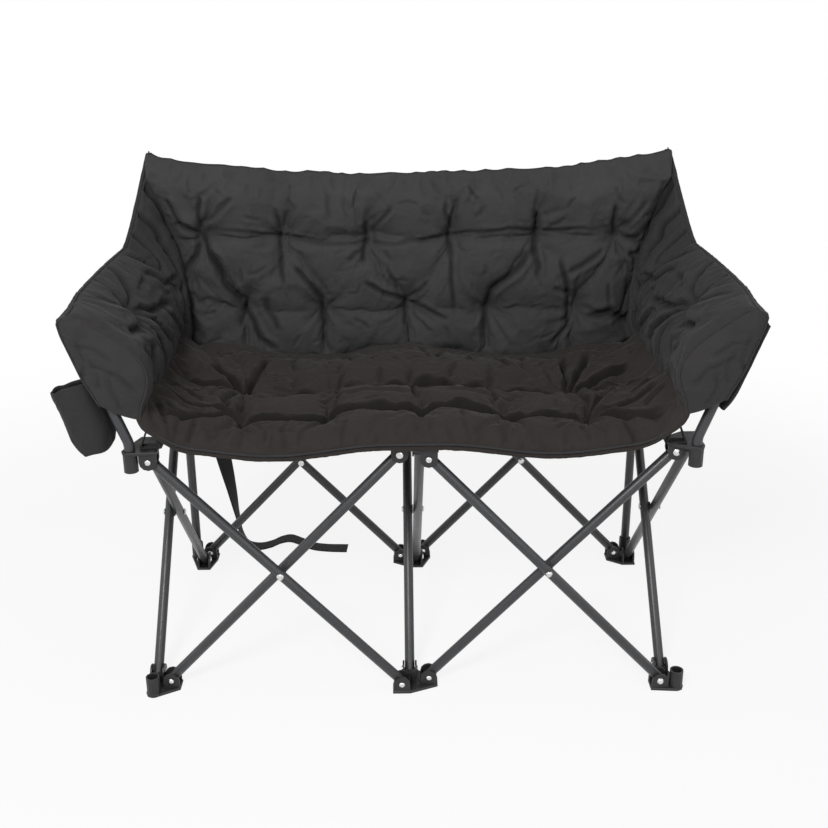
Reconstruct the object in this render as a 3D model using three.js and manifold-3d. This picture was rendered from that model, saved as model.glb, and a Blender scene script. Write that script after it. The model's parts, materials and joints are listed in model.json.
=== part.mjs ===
import * as THREE from 'three';
import { mergeVertices } from 'three/addons/utils/BufferGeometryUtils.js';
import Module from 'manifold-3d';

// A folding two-seat camping chair: six feet and six hubs, joined by seven pairs of crossed tubes,
// carry a quilted seat, back and two wings.
// Millimetres, +Z up. The sitter faces -Y, and +X is the right side as seen from the front.
// The origin is under the middle of the front centre foot.

const wasm = await Module();
wasm.setup();

// Steel tube and its pivots
const TUBE_RADIUS = 9.5;
const TUBE_WALL = 1.3;
const TUBE_PIVOTS = 653;
const TUBE_OVERHANG = 9;
const BAY_SPAN = 448;
const CROSS_GAP = 2;
const PIVOT_HEIGHT = 20;
const CENTRE_OFFSET = 26;
const DEPTH_INSET = 30;
const SIDE_OUTSET = 20;

// Rivets
const RIVET_RADIUS = 3;
const RIVET_HOLE_GAP = 0.4;
const HEAD_RADIUS = 6;
const HEAD_HEIGHT = 2.4;

// Plastic mouldings
const CHEEK = 3.5;
const CHEEK_RADIUS = 16;
const SLOT_GAP = 0.8;
const END_GAP = 0.8;
const HUB_CAP = 20.5;
const FLANGE = 1.5;
const SOCKET_OUT = 32;
const SOCKET_BACK = 15;
const SOCKET_WALL = 3.5;
const SOCKET_HEIGHT = 20;
const SOCKET_FLOOR = 4;

// Posts and arm tubes. A rise is a height above the hubs' top faces
const POST_RISE = 406;
const ARM_BEND_HEIGHT = 14;
const ARM_BEND_RADIUS = 45;
const ARM_LEAN = THREE.MathUtils.degToRad(20);
const ARM_RISE = 231;
const CAP_HEIGHT = 4;
const CAP_PLUG = 14;
const CAP_RIM = 1;

// Clearances
const FIT = 0.3;
const CUT = 60;

// Quilted cover
const TUFT_PITCH = 173;
const TUFT_RADIUS = 34;
const HEM = 5;
const SEAT_OVERHANG = 5;
const SEAT_FRONT = 31;
const SEAT_REAR = 38;
const SEAT_FILL = 34;
const SEAT_SAG = 19;
const SEAT_CORNER_LIFT = 20;
const SEAT_CORNER = 90;
const SEAT_SIDE = 62;
const SEAT_SIDE_RISE = 70;
const SEAT_SIDE_END = 15;
const SEAT_SIDE_FADE = 70;
const HUB_REST = 24;
const BACK_SEAM = 5;
const BACK_RISE = 437;
const BACK_DIP = 50;
const BACK_FOOT = 28;
const BACK_LEAN = 20;
const BACK_BOW = 12;
const BACK_FILL = 27;
const BACK_BACKING = 11;
const UPPER_TUFT_RISE = 264;
const LOWER_TUFT_RISE = 111;
const CREASE_WIDTH = 28;

// Wings: the front end leans out over the arm tube, and the rear end stands on the post
const WING_OVERHANG = 24;
const WING_RAISE = 2;
const WING_GAP = 2;
const WING_HEM = 8;
const WING_FRONT_RISE = 263;
const WING_MIDDLE_RISE = 274;
const WING_REAR_RISE = 437;
const WING_FRONT_FLARE = 100;
const WING_REAR_FLARE = 42;
const WING_FRONT_FILL = 38;
const WING_REAR_FILL = 32;
const WING_TIP_FILL = 7;
const SLEEVE_WALL = 3.5;
const SLEEVE_RISE = 111;

// Pouch outside the left arm and pocket outside the right arm
const POUCH_HEIGHT = 138;
const POUCH_LENGTH = 116;
const POUCH_WIDTH = 70;
const POUCH_RISE = 138;
const POUCH_FRONT = 22;
const POUCH_LEAN = THREE.MathUtils.degToRad(14);
const POCKET_HEIGHT = 165;
const POCKET_LENGTH = 200;
const POCKET_WIDTH = 15;
const POCKET_RISE = 221.4;
const POCKET_FRONT = 16;
const BAG_WALL = 2.5;

// Webbing
const STRAP_WIDTH = 38;
const STRAP_THICKNESS = 2;
const LOOP_WIDTH = 20;
const LOOP_THICKNESS = 2;
const LOOP_SPREAD = 40;
const LOOP_TIP = 8;

const ROUND_SIDES = 12;
const PIN_SIDES = 8;

// Places worked out from the sizes above
const spread = Math.asin(BAY_SPAN / TUBE_PIVOTS);
const hubHeight = PIVOT_HEIGHT + TUBE_PIVOTS * Math.cos(spread);
const planeOffset = TUBE_RADIUS + CROSS_GAP / 2;
const cornerX = CENTRE_OFFSET + BAY_SPAN;
const rowDepth = BAY_SPAN + 2 * DEPTH_INSET;
const socketX = cornerX + SOCKET_OUT;
const slotHalf = TUBE_RADIUS + SLOT_GAP;
const blockHalf = slotHalf + CHEEK;
const socketRadius = TUBE_RADIUS + FIT + SOCKET_WALL;
const endRadius = Math.hypot(TUBE_OVERHANG, TUBE_RADIUS) + END_GAP;
const hubTop = hubHeight + HUB_CAP;
const seatEdge = cornerX + SEAT_OVERHANG;
const seatFrontY = -SEAT_FRONT;
const seatRearY = rowDepth - SEAT_REAR;
const seatSeamY = (seatFrontY + seatRearY) / 2;
const postTop = hubTop + POST_RISE;
const armTop = hubTop + ARM_RISE;
const backCorner = hubTop + BACK_RISE;

// Materials
const coatedSteel = new THREE.MeshStandardMaterial({ color: 0x34363a, roughness: 0.42, metalness: 0.7 });
const blackPlastic = new THREE.MeshStandardMaterial({ color: 0x151516, roughness: 0.5, metalness: 0 });
const brightSteel = new THREE.MeshStandardMaterial({ color: 0xc9cbcd, roughness: 0.25, metalness: 1 });
const clearNylon = new THREE.MeshStandardMaterial({ color: 0x202123, roughness: 0.55, metalness: 0 });
const quiltedCloth = new THREE.MeshStandardMaterial({ color: 0x2b2a2b, roughness: 0.85, metalness: 0 });
const pouchCloth = new THREE.MeshStandardMaterial({ color: 0x232325, roughness: 0.85, metalness: 0 });
const webbing = new THREE.MeshStandardMaterial({ color: 0x121213, roughness: 0.8, metalness: 0 });

const chair = new THREE.Group();

function addMesh(name, geometry, material, parent = chair) {
  const mesh = new THREE.Mesh(geometry, material);
  mesh.name = name;
  parent.add(mesh);
  return mesh;
}

// Closed geometry to solid and back
function toSolid(geometry) {
  const bare = geometry.clone();
  bare.deleteAttribute('normal');
  bare.deleteAttribute('uv');
  const merged = mergeVertices(bare);
  return new wasm.Manifold(new wasm.Mesh({
    numProp: 3,
    vertProperties: new Float32Array(merged.attributes.position.array),
    triVerts: new Uint32Array(merged.index.array),
  }));
}

function toGeometry(solid) {
  const mesh = solid.getMesh();
  const geometry = new THREE.BufferGeometry();
  geometry.setAttribute('position', new THREE.BufferAttribute(new Float32Array(mesh.vertProperties), 3));
  geometry.setIndex(new THREE.BufferAttribute(new Uint32Array(mesh.triVerts), 1));
  geometry.computeVertexNormals();
  return geometry;
}

function joined(solids) {
  return solids.reduce((sum, solid) => sum.add(solid));
}

// A round bar between two points
function bar(radius, from, to, sides = ROUND_SIDES) {
  const along = new THREE.Vector3().subVectors(to, from);
  const geometry = new THREE.CylinderGeometry(radius, radius, along.length(), sides);
  const up = new THREE.Vector3(0, 1, 0);
  geometry.applyQuaternion(new THREE.Quaternion().setFromUnitVectors(up, along.clone().normalize()));
  const middle = new THREE.Vector3().addVectors(from, to).multiplyScalar(1 / 2);
  geometry.translate(middle.x, middle.y, middle.z);
  return toSolid(geometry);
}

// A rivet along Y: a shank with a domed head at each end
function rivetGeometry(halfLength) {
  const crownShare = 0.6;
  const half = [
    new THREE.Vector2(RIVET_RADIUS, halfLength),
    new THREE.Vector2(HEAD_RADIUS, halfLength),
    new THREE.Vector2(HEAD_RADIUS * crownShare, halfLength + HEAD_HEIGHT),
    new THREE.Vector2(0, halfLength + HEAD_HEIGHT),
  ];
  const lower = half.map((point) => new THREE.Vector2(point.x, -point.y)).reverse();
  return new THREE.LatheGeometry([...lower, ...half], PIN_SIDES);
}

// Tubes

// A straight tube along Z with its lower pivot at the origin, drilled along Y at both pivots and the crossing
function crossTubeGeometry() {
  const low = new THREE.Vector3(0, 0, -TUBE_OVERHANG);
  const high = new THREE.Vector3(0, 0, TUBE_PIVOTS + TUBE_OVERHANG);
  const past = new THREE.Vector3(0, 0, CUT);
  let tube = bar(TUBE_RADIUS, low, high);
  const bore = bar(TUBE_RADIUS - TUBE_WALL, low.clone().sub(past), high.clone().add(past));
  tube = tube.subtract(bore);
  for (const height of [0, TUBE_PIVOTS / 2, TUBE_PIVOTS]) {
    const from = new THREE.Vector3(0, -CUT, height);
    const to = new THREE.Vector3(0, CUT, height);
    tube = tube.subtract(bar(RIVET_RADIUS + RIVET_HOLE_GAP, from, to, PIN_SIDES));
  }
  return toGeometry(tube);
}

const crossTube = crossTubeGeometry();
const crossTubeAcross = crossTube.clone().rotateZ(Math.PI / 2);
const crossRivet = rivetGeometry(2 * TUBE_RADIUS + CROSS_GAP / 2 + FIT);

function spacerGeometry() {
  const half = CROSS_GAP / 2 - FIT;
  const hole = RIVET_RADIUS + FIT;
  const profile = [
    new THREE.Vector2(hole, -half),
    new THREE.Vector2(TUBE_RADIUS, -half),
    new THREE.Vector2(TUBE_RADIUS, half),
    new THREE.Vector2(hole, half),
    new THREE.Vector2(hole, -half),
  ];
  return new THREE.LatheGeometry(profile, PIN_SIDES);
}

const spacer = spacerGeometry();

// One pair of crossed tubes. swing is the axis that the pair spreads along, x or y.
// rising leans towards + of that axis and stands in the plane at +side, falling leans towards -.
function addCrossedPair({ names, swing, middle, at, risingSide }) {
  const pair = new THREE.Group();
  const half = BAY_SPAN / 2;
  const places = [
    { name: names.rising, start: -half, lean: spread, side: risingSide },
    { name: names.falling, start: half, lean: -spread, side: -risingSide },
  ];
  for (const place of places) {
    const tube = addMesh(place.name, swing === 'x' ? crossTube : crossTubeAcross, coatedSteel, pair);
    if (swing === 'x') {
      tube.position.set(middle + place.start, at + place.side * planeOffset, PIVOT_HEIGHT);
      tube.rotation.y = place.lean;
    } else {
      tube.position.set(at + place.side * planeOffset, middle + place.start, PIVOT_HEIGHT);
      tube.rotation.x = -place.lean;
    }
  }
  const rivet = addMesh(`${names.pair}_rivet`, crossRivet, brightSteel, pair);
  const washer = addMesh(`${names.pair}_spacer`, spacer, clearNylon, pair);
  for (const piece of [rivet, washer]) {
    const height = (PIVOT_HEIGHT + hubHeight) / 2;
    piece.position.set(swing === 'x' ? middle : at, swing === 'x' ? at : middle, height);
    piece.rotation.z = swing === 'x' ? 0 : Math.PI / 2;
  }
  chair.add(pair);
}

// In both rows the tube that leans to the right stands behind the other
for (const [row, y] of [['front', 0], ['rear', rowDepth]]) {
  for (const [bay, middle] of [['left', -cornerX + BAY_SPAN / 2], ['right', cornerX - BAY_SPAN / 2]]) {
    const pair = `${row}_${bay}`;
    addCrossedPair({
      names: { pair, rising: `${pair}_rising_tube`, falling: `${pair}_falling_tube` },
      swing: 'x',
      middle,
      at: y,
      risingSide: 1,
    });
  }
}

// In the depth pairs the tube from the front foot stands to the left of the other
const sideX = cornerX + SIDE_OUTSET;
for (const [side, x] of [['left', -sideX], ['centre', 0], ['right', sideX]]) {
  const pair = `${side}_depth`;
  addCrossedPair({
    names: { pair, rising: `${pair}_front_foot_tube`, falling: `${pair}_rear_foot_tube` },
    swing: 'y',
    middle: rowDepth / 2,
    at: x,
    risingSide: -1,
  });
}

// Plastic mouldings, made for a foot with its pivots at height zero and its tubes going up.
// A clevis has two cheeks with rounded tops, open towards the tube, a pivot rivet and an end wall.

function alongSwing(geometry, clevis) {
  if (clevis.swing === 'y') {
    geometry.rotateZ(Math.PI / 2);
  }
  geometry.translate(clevis.x, clevis.y, 0);
  return toSolid(geometry);
}

function cheekBlock(clevis, drop) {
  const arcSegments = 3;
  const outline = new THREE.Shape();
  outline.moveTo(-CHEEK_RADIUS, -drop);
  outline.lineTo(CHEEK_RADIUS, -drop);
  outline.lineTo(CHEEK_RADIUS, 0);
  outline.absarc(0, 0, CHEEK_RADIUS, 0, Math.PI);
  outline.closePath();
  const width = 2 * blockHalf;
  const settings = { depth: width, bevelEnabled: false, curveSegments: arcSegments };
  const block = new THREE.ExtrudeGeometry(outline, settings);
  block.rotateX(Math.PI / 2);
  block.translate(0, width / 2, 0);
  return alongSwing(block, clevis);
}

function slotCutter(clevis) {
  const reach = CUT + endRadius;
  const slot = new THREE.BoxGeometry(reach, 2 * slotHalf, reach);
  slot.translate((reach / 2 - endRadius) * clevis.toward, 0, reach / 2 - endRadius);
  return alongSwing(slot, clevis);
}

function pivotRivet(clevis) {
  return alongSwing(rivetGeometry(blockHalf), clevis);
}

// The smallest outline round a set of points, counter-clockwise
function outlineRound(points) {
  const sorted = [...points].sort((a, b) => a.x - b.x || a.y - b.y);
  const turn = (o, a, b) => (a.x - o.x) * (b.y - o.y) - (a.y - o.y) * (b.x - o.x);
  const chain = (list) => {
    const kept = [];
    for (const point of list) {
      while (kept.length > 1 && turn(kept.at(-2), kept.at(-1), point) <= 0) {
        kept.pop();
      }
      kept.push(point);
    }
    kept.pop();
    return kept;
  };
  return [...chain(sorted), ...chain(sorted.reverse())];
}

// The base plate reaches round all the clevises and sockets, and has a chamfered rim
function basePlate(clevises, sockets, drop) {
  const points = [];
  for (const clevis of clevises) {
    const halfX = clevis.swing === 'x' ? CHEEK_RADIUS : blockHalf;
    const halfY = clevis.swing === 'x' ? blockHalf : CHEEK_RADIUS;
    for (const [a, b] of [[-1, -1], [-1, 1], [1, -1], [1, 1]]) {
      points.push(new THREE.Vector2(clevis.x + a * halfX, clevis.y + b * halfY));
    }
  }
  const corners = 8;
  for (const socket of sockets) {
    for (let i = 0; i < corners; i += 1) {
      const angle = (2 * Math.PI * i) / corners;
      points.push(new THREE.Vector2(
        socket.x + socketRadius * Math.cos(angle),
        socket.y + socketRadius * Math.sin(angle),
      ));
    }
  }
  const thickness = drop - endRadius;
  const plate = new THREE.ExtrudeGeometry(new THREE.Shape(outlineRound(points)), {
    depth: thickness - 2 * FLANGE,
    bevelEnabled: true,
    bevelThickness: FLANGE,
    bevelSize: FLANGE,
    bevelSegments: 1,
  });
  plate.translate(0, 0, FLANGE - drop);
  return toSolid(plate);
}

function moulding({ clevises, sockets, drop }) {
  let solid = basePlate(clevises, sockets, drop);
  for (const clevis of clevises) {
    solid = solid.add(cheekBlock(clevis, drop));
  }
  for (const socket of sockets) {
    const low = new THREE.Vector3(socket.x, socket.y, -drop);
    const high = new THREE.Vector3(socket.x, socket.y, SOCKET_HEIGHT);
    solid = solid.add(bar(socketRadius, low, high));
  }
  for (const clevis of clevises) {
    solid = solid.subtract(slotCutter(clevis));
  }
  for (const socket of sockets) {
    const low = new THREE.Vector3(socket.x, socket.y, socket.openBelow ? -CUT : SOCKET_FLOOR - drop);
    const high = new THREE.Vector3(socket.x, socket.y, socket.openAbove ? CUT : SOCKET_HEIGHT - SOCKET_FLOOR);
    solid = solid.subtract(boreCutter(low, high, TUBE_RADIUS));
  }
  return joined([solid, ...clevises.map(pivotRivet)]);
}

// A hub is the same kind of moulding upside down
function mouldingGeometry(spec, isFoot) {
  const geometry = toGeometry(moulding(spec));
  if (!isFoot) {
    geometry.scale(1, 1, -1);
    const index = geometry.index.array;
    for (let i = 0; i < index.length; i += 3) {
      [index[i], index[i + 1]] = [index[i + 1], index[i]];
    }
    geometry.computeVertexNormals();
  }
  return geometry;
}

// What stands in each row and column: at a foot the tubes go up from it, at a hub down.
// A rising tube leans right or rearwards, so it starts at a foot on its left or front.
// All corner mouldings have a socket for a post or an arm tube. In the front feet it stays empty.
function cornerSpec(outward, inward, isFoot) {
  const socket = {
    x: outward * SOCKET_OUT,
    y: -inward * SOCKET_BACK,
    openAbove: isFoot || inward < 0,
    openBelow: !isFoot,
  };
  const risingRow = (outward < 0) === isFoot;
  const risingDepth = (inward > 0) === isFoot;
  return {
    drop: isFoot ? PIVOT_HEIGHT : HUB_CAP,
    clevises: [
      { swing: 'x', x: 0, y: risingRow ? planeOffset : -planeOffset, toward: -outward },
      {
        swing: 'y',
        x: outward * SIDE_OUTSET + (risingDepth ? -planeOffset : planeOffset),
        y: inward * DEPTH_INSET,
        toward: inward,
      },
    ],
    sockets: [socket],
  };
}

function centreSpec(inward, isFoot) {
  const clevises = [-1, 1].map((side) => ({
    swing: 'x',
    x: side * CENTRE_OFFSET,
    y: ((side > 0) === isFoot ? 1 : -1) * planeOffset,
    toward: side,
  }));
  const risingDepth = (inward > 0) === isFoot;
  clevises.push({
    swing: 'y',
    x: risingDepth ? -planeOffset : planeOffset,
    y: inward * DEPTH_INSET,
    toward: inward,
  });
  return { drop: isFoot ? PIVOT_HEIGHT : HUB_CAP, clevises, sockets: [] };
}

for (const [row, y, inward] of [['front', 0, 1], ['rear', rowDepth, -1]]) {
  for (const [column, outward] of [['left', -1], ['centre', 0], ['right', 1]]) {
    for (const [kind, height, isFoot] of [['foot', PIVOT_HEIGHT, true], ['hub', hubHeight, false]]) {
      const spec = outward ? cornerSpec(outward, inward, isFoot) : centreSpec(inward, isFoot);
      const mesh = addMesh(`${row}_${column}_${kind}`, mouldingGeometry(spec, isFoot), blackPlastic);
      mesh.position.set(outward * cornerX, y, height);
    }
  }
}

// Back posts stand in the rear corner feet and pass through the rear corner hubs
const postY = rowDepth + SOCKET_BACK;
const postBottom = SOCKET_FLOOR + FIT;

function capGeometry() {
  const profile = [
    new THREE.Vector2(0, -CAP_PLUG),
    new THREE.Vector2(TUBE_RADIUS - TUBE_WALL - FIT, -CAP_PLUG),
    new THREE.Vector2(TUBE_RADIUS - TUBE_WALL - FIT, FIT),
    new THREE.Vector2(TUBE_RADIUS + CAP_RIM, FIT),
    new THREE.Vector2(TUBE_RADIUS + CAP_RIM, CAP_HEIGHT / 2),
    new THREE.Vector2(TUBE_RADIUS / 2, CAP_HEIGHT + CAP_RIM),
    new THREE.Vector2(0, CAP_HEIGHT + CAP_RIM),
  ];
  return new THREE.LatheGeometry(profile, PIN_SIDES).rotateX(Math.PI / 2);
}

for (const [side, outward] of [['left', -1], ['right', 1]]) {
  const low = new THREE.Vector3(outward * socketX, postY, postBottom);
  const high = new THREE.Vector3(outward * socketX, postY, postTop);
  const past = new THREE.Vector3(0, 0, CUT);
  const post = bar(TUBE_RADIUS, low, high).subtract(
    bar(TUBE_RADIUS - TUBE_WALL, low.clone().sub(past), high.clone().add(past)),
  );
  addMesh(`${side}_back_post`, toGeometry(post), coatedSteel);
  const cap = addMesh(`${side}_post_cap`, capGeometry(), blackPlastic);
  cap.position.copy(high);
}

// Arm tubes stand in the front corner hubs, bend outwards and end in the corner of the arm
const armY = -SOCKET_BACK;
const armBottom = hubHeight - SOCKET_HEIGHT + SOCKET_FLOOR + FIT;
const armBend = hubTop + ARM_BEND_HEIGHT;

// The arm tube's centre line, outward > 0 to the right
function armLine(outward) {
  const setback = ARM_BEND_RADIUS * Math.tan(ARM_LEAN / 2);
  const lean = new THREE.Vector3(outward * Math.sin(ARM_LEAN), 0, Math.cos(ARM_LEAN));
  const start = new THREE.Vector3(outward * socketX, armY, armBottom);
  const corner = new THREE.Vector3(outward * socketX, armY, armBend);
  const end = corner.clone().addScaledVector(lean, (armTop - armBend) / lean.z);
  const before = new THREE.Vector3(corner.x, corner.y, corner.z - setback);
  const after = corner.clone().addScaledVector(lean, setback);
  return { start, before, corner, after, end, lean };
}

function armPath(line) {
  const path = new THREE.CurvePath();
  path.add(new THREE.LineCurve3(line.start, line.before));
  path.add(new THREE.QuadraticBezierCurve3(line.before, line.corner, line.after));
  path.add(new THREE.LineCurve3(line.after, line.end));
  return path;
}

function ringShape(outer, inner) {
  const ring = new THREE.Shape();
  ring.absarc(0, 0, outer, 0, 2 * Math.PI);
  if (inner) {
    const hole = new THREE.Path();
    hole.absarc(0, 0, inner, 0, 2 * Math.PI);
    ring.holes.push(hole);
  }
  return ring;
}

function alongPath(shape, path, steps) {
  const settings = { steps, bevelEnabled: false, extrudePath: path, curveSegments: ROUND_SIDES / 2 };
  return new THREE.ExtrudeGeometry(shape, settings);
}

const ARM_STEPS = 6;
for (const [side, outward] of [['left', -1], ['right', 1]]) {
  const line = armLine(outward);
  const tube = alongPath(ringShape(TUBE_RADIUS, TUBE_RADIUS - TUBE_WALL), armPath(line), ARM_STEPS);
  addMesh(`${side}_arm_tube`, toGeometry(toSolid(tube)), coatedSteel);
  const cap = addMesh(`${side}_arm_cap`, capGeometry(), blackPlastic);
  cap.position.copy(line.end);
  cap.rotation.y = outward * ARM_LEAN;
}

// A round hole in which a bar of the given radius has its clearance at the flats too
function boreCutter(from, to, radius) {
  return bar((radius + FIT) / Math.cos(Math.PI / ROUND_SIDES), from, to);
}

// Quilted pieces are rings lofted side by side. place(u, v, side) gives the surface point at share u
// of the length and share v of the height, on the inner face (side 1) or the outer face (side -1).
function padGeometry({ length, height, place }) {
  const rings = [];
  for (let i = 0; i <= length; i += 1) {
    const ring = [];
    for (let j = 0; j <= height; j += 1) {
      ring.push(place(i / length, j / height, 1));
    }
    for (let j = height; j >= 0; j -= 1) {
      ring.push(place(i / length, j / height, -1));
    }
    rings.push(ring);
  }
  return loft(rings, height + 1);
}

// Closed mesh through rings of equal count. An end is closed between its two faces, or as a fan.
function loft(rings, faceCount = 0) {
  const count = rings[0].length;
  const positions = rings.flat().flatMap((point) => [point.x, point.y, point.z]);
  const index = [];
  for (let i = 0; i + 1 < rings.length; i += 1) {
    for (let j = 0; j < count; j += 1) {
      const a = i * count + j;
      const b = i * count + ((j + 1) % count);
      index.push(a, b, b + count, a, b + count, a + count);
    }
  }
  const last = (rings.length - 1) * count;
  for (const [base, flip] of [[0, true], [last, false]]) {
    const add = (a, b, c) => index.push(base + a, base + (flip ? c : b), base + (flip ? b : c));
    if (faceCount) {
      for (let j = 0; j + 1 < faceCount; j += 1) {
        const far = count - 1 - j;
        add(j, j + 1, far - 1);
        add(j, far - 1, far);
      }
    } else {
      for (let j = 1; j + 1 < count; j += 1) {
        add(0, j, j + 1);
      }
    }
  }
  const geometry = new THREE.BufferGeometry();
  geometry.setAttribute('position', new THREE.Float32BufferAttribute(positions, 3));
  geometry.setIndex(index);
  if (signedVolume(geometry) < 0) {
    for (let i = 0; i < index.length; i += 3) {
      [index[i], index[i + 1]] = [index[i + 1], index[i]];
    }
    geometry.setIndex(index);
  }
  geometry.computeVertexNormals();
  return geometry;
}

function signedVolume(geometry) {
  const { array } = geometry.attributes.position;
  const corner = (i) => new THREE.Vector3().fromArray(array, 3 * i);
  const order = geometry.index.array;
  let sum = 0;
  for (let i = 0; i < order.length; i += 3) {
    sum += corner(order[i]).dot(corner(order[i + 1]).cross(corner(order[i + 2])));
  }
  return sum;
}

// 0 on the edge of a panel and 1 well inside it
function crown(u, v, edgeU, edgeV) {
  const rise = (t, edge) => Math.sin((Math.PI / 2) * Math.min(1, Math.min(t, 1 - t) / edge));
  return Math.sqrt(rise(u, edgeU) * rise(v, edgeV));
}

// How much of the filling is left near sewn tufts and along the creases that join a row of them
function tufted(x, z, tufts, creases) {
  const depthShare = 0.72;
  const creaseShare = 0.4;
  let left = 1;
  for (const tuft of tufts) {
    const distance = Math.hypot(x - tuft.x, z - tuft.z) / TUFT_RADIUS;
    left -= depthShare * Math.exp(-distance * distance);
  }
  for (const crease of creases) {
    const distance = (z - crease) / CREASE_WIDTH;
    left -= creaseShare * Math.exp(-distance * distance);
  }
  return Math.max(left, 1 - depthShare);
}

// Two kinds of tuft rows: places at whole pitches and at half pitches from the middle
function tuftRow(z, reach, offsetShare) {
  const row = [];
  for (let x = TUFT_PITCH * offsetShare; x < reach; x += TUFT_PITCH) {
    row.push({ x, z });
    if (x > 0) {
      row.push({ x: -x, z });
    }
  }
  return row;
}

const smooth = (t) => THREE.MathUtils.smoothstep(t, 0, 1);
const mix = THREE.MathUtils.lerp;

// The sides of the seat roll up towards the wings, less so next to the back
function seatSide(x, y) {
  const power = 1.7;
  const roll = THREE.MathUtils.clamp((Math.abs(x) - seatEdge + SEAT_SIDE) / SEAT_SIDE, 0, 1) ** power;
  return SEAT_SIDE_RISE * roll * smooth((seatRearY - SEAT_SIDE_END - y) / SEAT_SIDE_FADE);
}

// Seat: its underside rests on the hubs and sags between them, and its front corners rise to the arms
const undersideShare = 0.6;
function seatUnderside(x, y) {
  const away = Math.abs(x);
  const centreEnd = CENTRE_OFFSET + HUB_REST;
  const bay = THREE.MathUtils.clamp((away - centreEnd) / (cornerX - HUB_REST - centreEnd), 0, 1);
  const sag = SEAT_SAG * Math.sin(Math.PI * bay) ** 2;
  const corner = smooth((away - seatEdge + SEAT_CORNER) / SEAT_CORNER);
  const front = smooth((seatSeamY - y) / (seatSeamY - seatFrontY));
  return hubTop + FIT - sag + SEAT_CORNER_LIFT * corner * front + undersideShare * seatSide(x, y);
}

function seatGeometry({ from, to, tufts, creases, length, depth }) {
  const edgeShare = 0.09;
  const hemShare = 0.24;
  const gatherShare = 0.35;
  return padGeometry({
    length,
    height: depth,
    place: (u, v, side) => {
      const gathered = u - (gatherShare * Math.sin(2 * Math.PI * u)) / (2 * Math.PI);
      const x = mix(-seatEdge, seatEdge, gathered);
      const y = mix(from, to, v);
      const under = seatUnderside(x, y);
      const fill = SEAT_FILL * crown(gathered, v, edgeShare, hemShare) * tufted(x, y, tufts, creases);
      const top = under + 2 * HEM + fill + (1 - undersideShare) * seatSide(x, y);
      return new THREE.Vector3(x, y, side > 0 ? top : under);
    },
  });
}

const seatLength = 28;
const seatDepth = 7;
const tuftReach = seatEdge - TUFT_RADIUS;
const frontTuftShare = 0.42;
const seatFrontTufts = mix(seatFrontY, seatSeamY, frontTuftShare);
addMesh('seat_front', seatGeometry({
  from: seatFrontY,
  to: seatSeamY - FIT / 2,
  tufts: [...tuftRow(seatFrontTufts, tuftReach, 0), ...tuftRow(seatSeamY, tuftReach, 0)],
  creases: [seatFrontTufts],
  length: seatLength,
  depth: seatDepth,
}), quiltedCloth);
addMesh('seat_rear', seatGeometry({
  from: seatSeamY + FIT / 2,
  to: seatRearY,
  tufts: tuftRow(seatSeamY, tuftReach, 0),
  creases: [],
  length: seatLength,
  depth: seatDepth,
}), quiltedCloth);

// Wings: panels that stand on the sides of the seat, lean out towards the arm in front
// and reach the posts behind, each with a sleeve for its post and one for its arm tube
const wingFrontY = armY - WING_OVERHANG;
const wingRearY = postY + TUBE_RADIUS + HEM;
const sleeveRadius = TUBE_RADIUS + CAP_RIM + FIT + SLEEVE_WALL;

function wingBottom(u) {
  const y = mix(wingFrontY, wingRearY, u);
  return seatUnderside(seatEdge, y) + 2 * HEM + (1 - undersideShare) * seatSide(seatEdge, y) + WING_RAISE;
}

function wingTop(u) {
  const sweepShare = 0.7;
  const sweepPower = 1.3;
  const level = mix(WING_FRONT_RISE, WING_MIDDLE_RISE, Math.min(1, u / sweepShare));
  const sweep = Math.max(0, (u - sweepShare) / (1 - sweepShare));
  return hubTop + mix(level, WING_REAR_RISE, sweep ** sweepPower);
}

// The panel's middle and half its thickness, both measured outwards along X
function wingSection(u, v) {
  const flarePower = 2;
  const flare = mix(WING_FRONT_FLARE, WING_REAR_FLARE, u ** flarePower);
  const hem = mix(WING_HEM, (socketX + TUBE_RADIUS + HEM - seatEdge) / 2, smooth(u));
  const bend = 2.2;
  const swell = 1.3;
  const endShare = 0.06;
  const endFillShare = 0.85;
  const creaseShare = 0.14;
  const creases = 4;
  const fill = mix(WING_FRONT_FILL, WING_REAR_FILL, smooth(u));
  const rim = mix(hem, WING_TIP_FILL, v);
  const rise = Math.sin(Math.PI * Math.min(1, v)) ** swell;
  const end = mix(endFillShare, 1, Math.min(1, Math.min(u, 1 - u) / endShare));
  const puff = 1 - (creaseShare * (1 - Math.cos(2 * Math.PI * creases * u))) / 2;
  return { middle: seatEdge + WING_GAP + hem + flare * v ** bend, half: rim + (fill - rim) * rise * end * puff };
}

function wingPlace(outward) {
  return (u, v, side) => {
    const { middle, half } = wingSection(u, v);
    const y = mix(wingFrontY, wingRearY, u);
    return new THREE.Vector3(outward * (middle - side * half), y, mix(wingBottom(u), wingTop(u), v));
  };
}

function wingSolid(outward) {
  const pad = toSolid(padGeometry({ length: 14, height: 7, place: wingPlace(outward) }));
  const line = armLine(outward);
  const capRoom = CAP_HEIGHT + CAP_RIM + FIT;
  const sleeveLow = line.corner.clone().addScaledVector(line.lean, (hubTop + SLEEVE_RISE - armBend) / line.lean.z);
  const armEnd = line.end.clone().addScaledVector(line.lean, capRoom);
  const sleeveHigh = armEnd.clone().addScaledVector(line.lean, SLEEVE_WALL);
  const postEnd = new THREE.Vector3(outward * socketX, postY, postTop);
  const postLow = new THREE.Vector3(outward * socketX, postY, hubTop);
  const postHigh = new THREE.Vector3(outward * socketX, postY, postTop + capRoom);
  const capRadius = TUBE_RADIUS + CAP_RIM;
  return pad
    .add(bar(sleeveRadius, sleeveLow, sleeveHigh))
    .subtract(boreCutter(line.corner, armEnd, TUBE_RADIUS))
    .subtract(boreCutter(line.end, armEnd, capRadius))
    .subtract(boreCutter(postLow, postHigh, TUBE_RADIUS))
    .subtract(boreCutter(postEnd, postHigh, capRadius));
}

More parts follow.
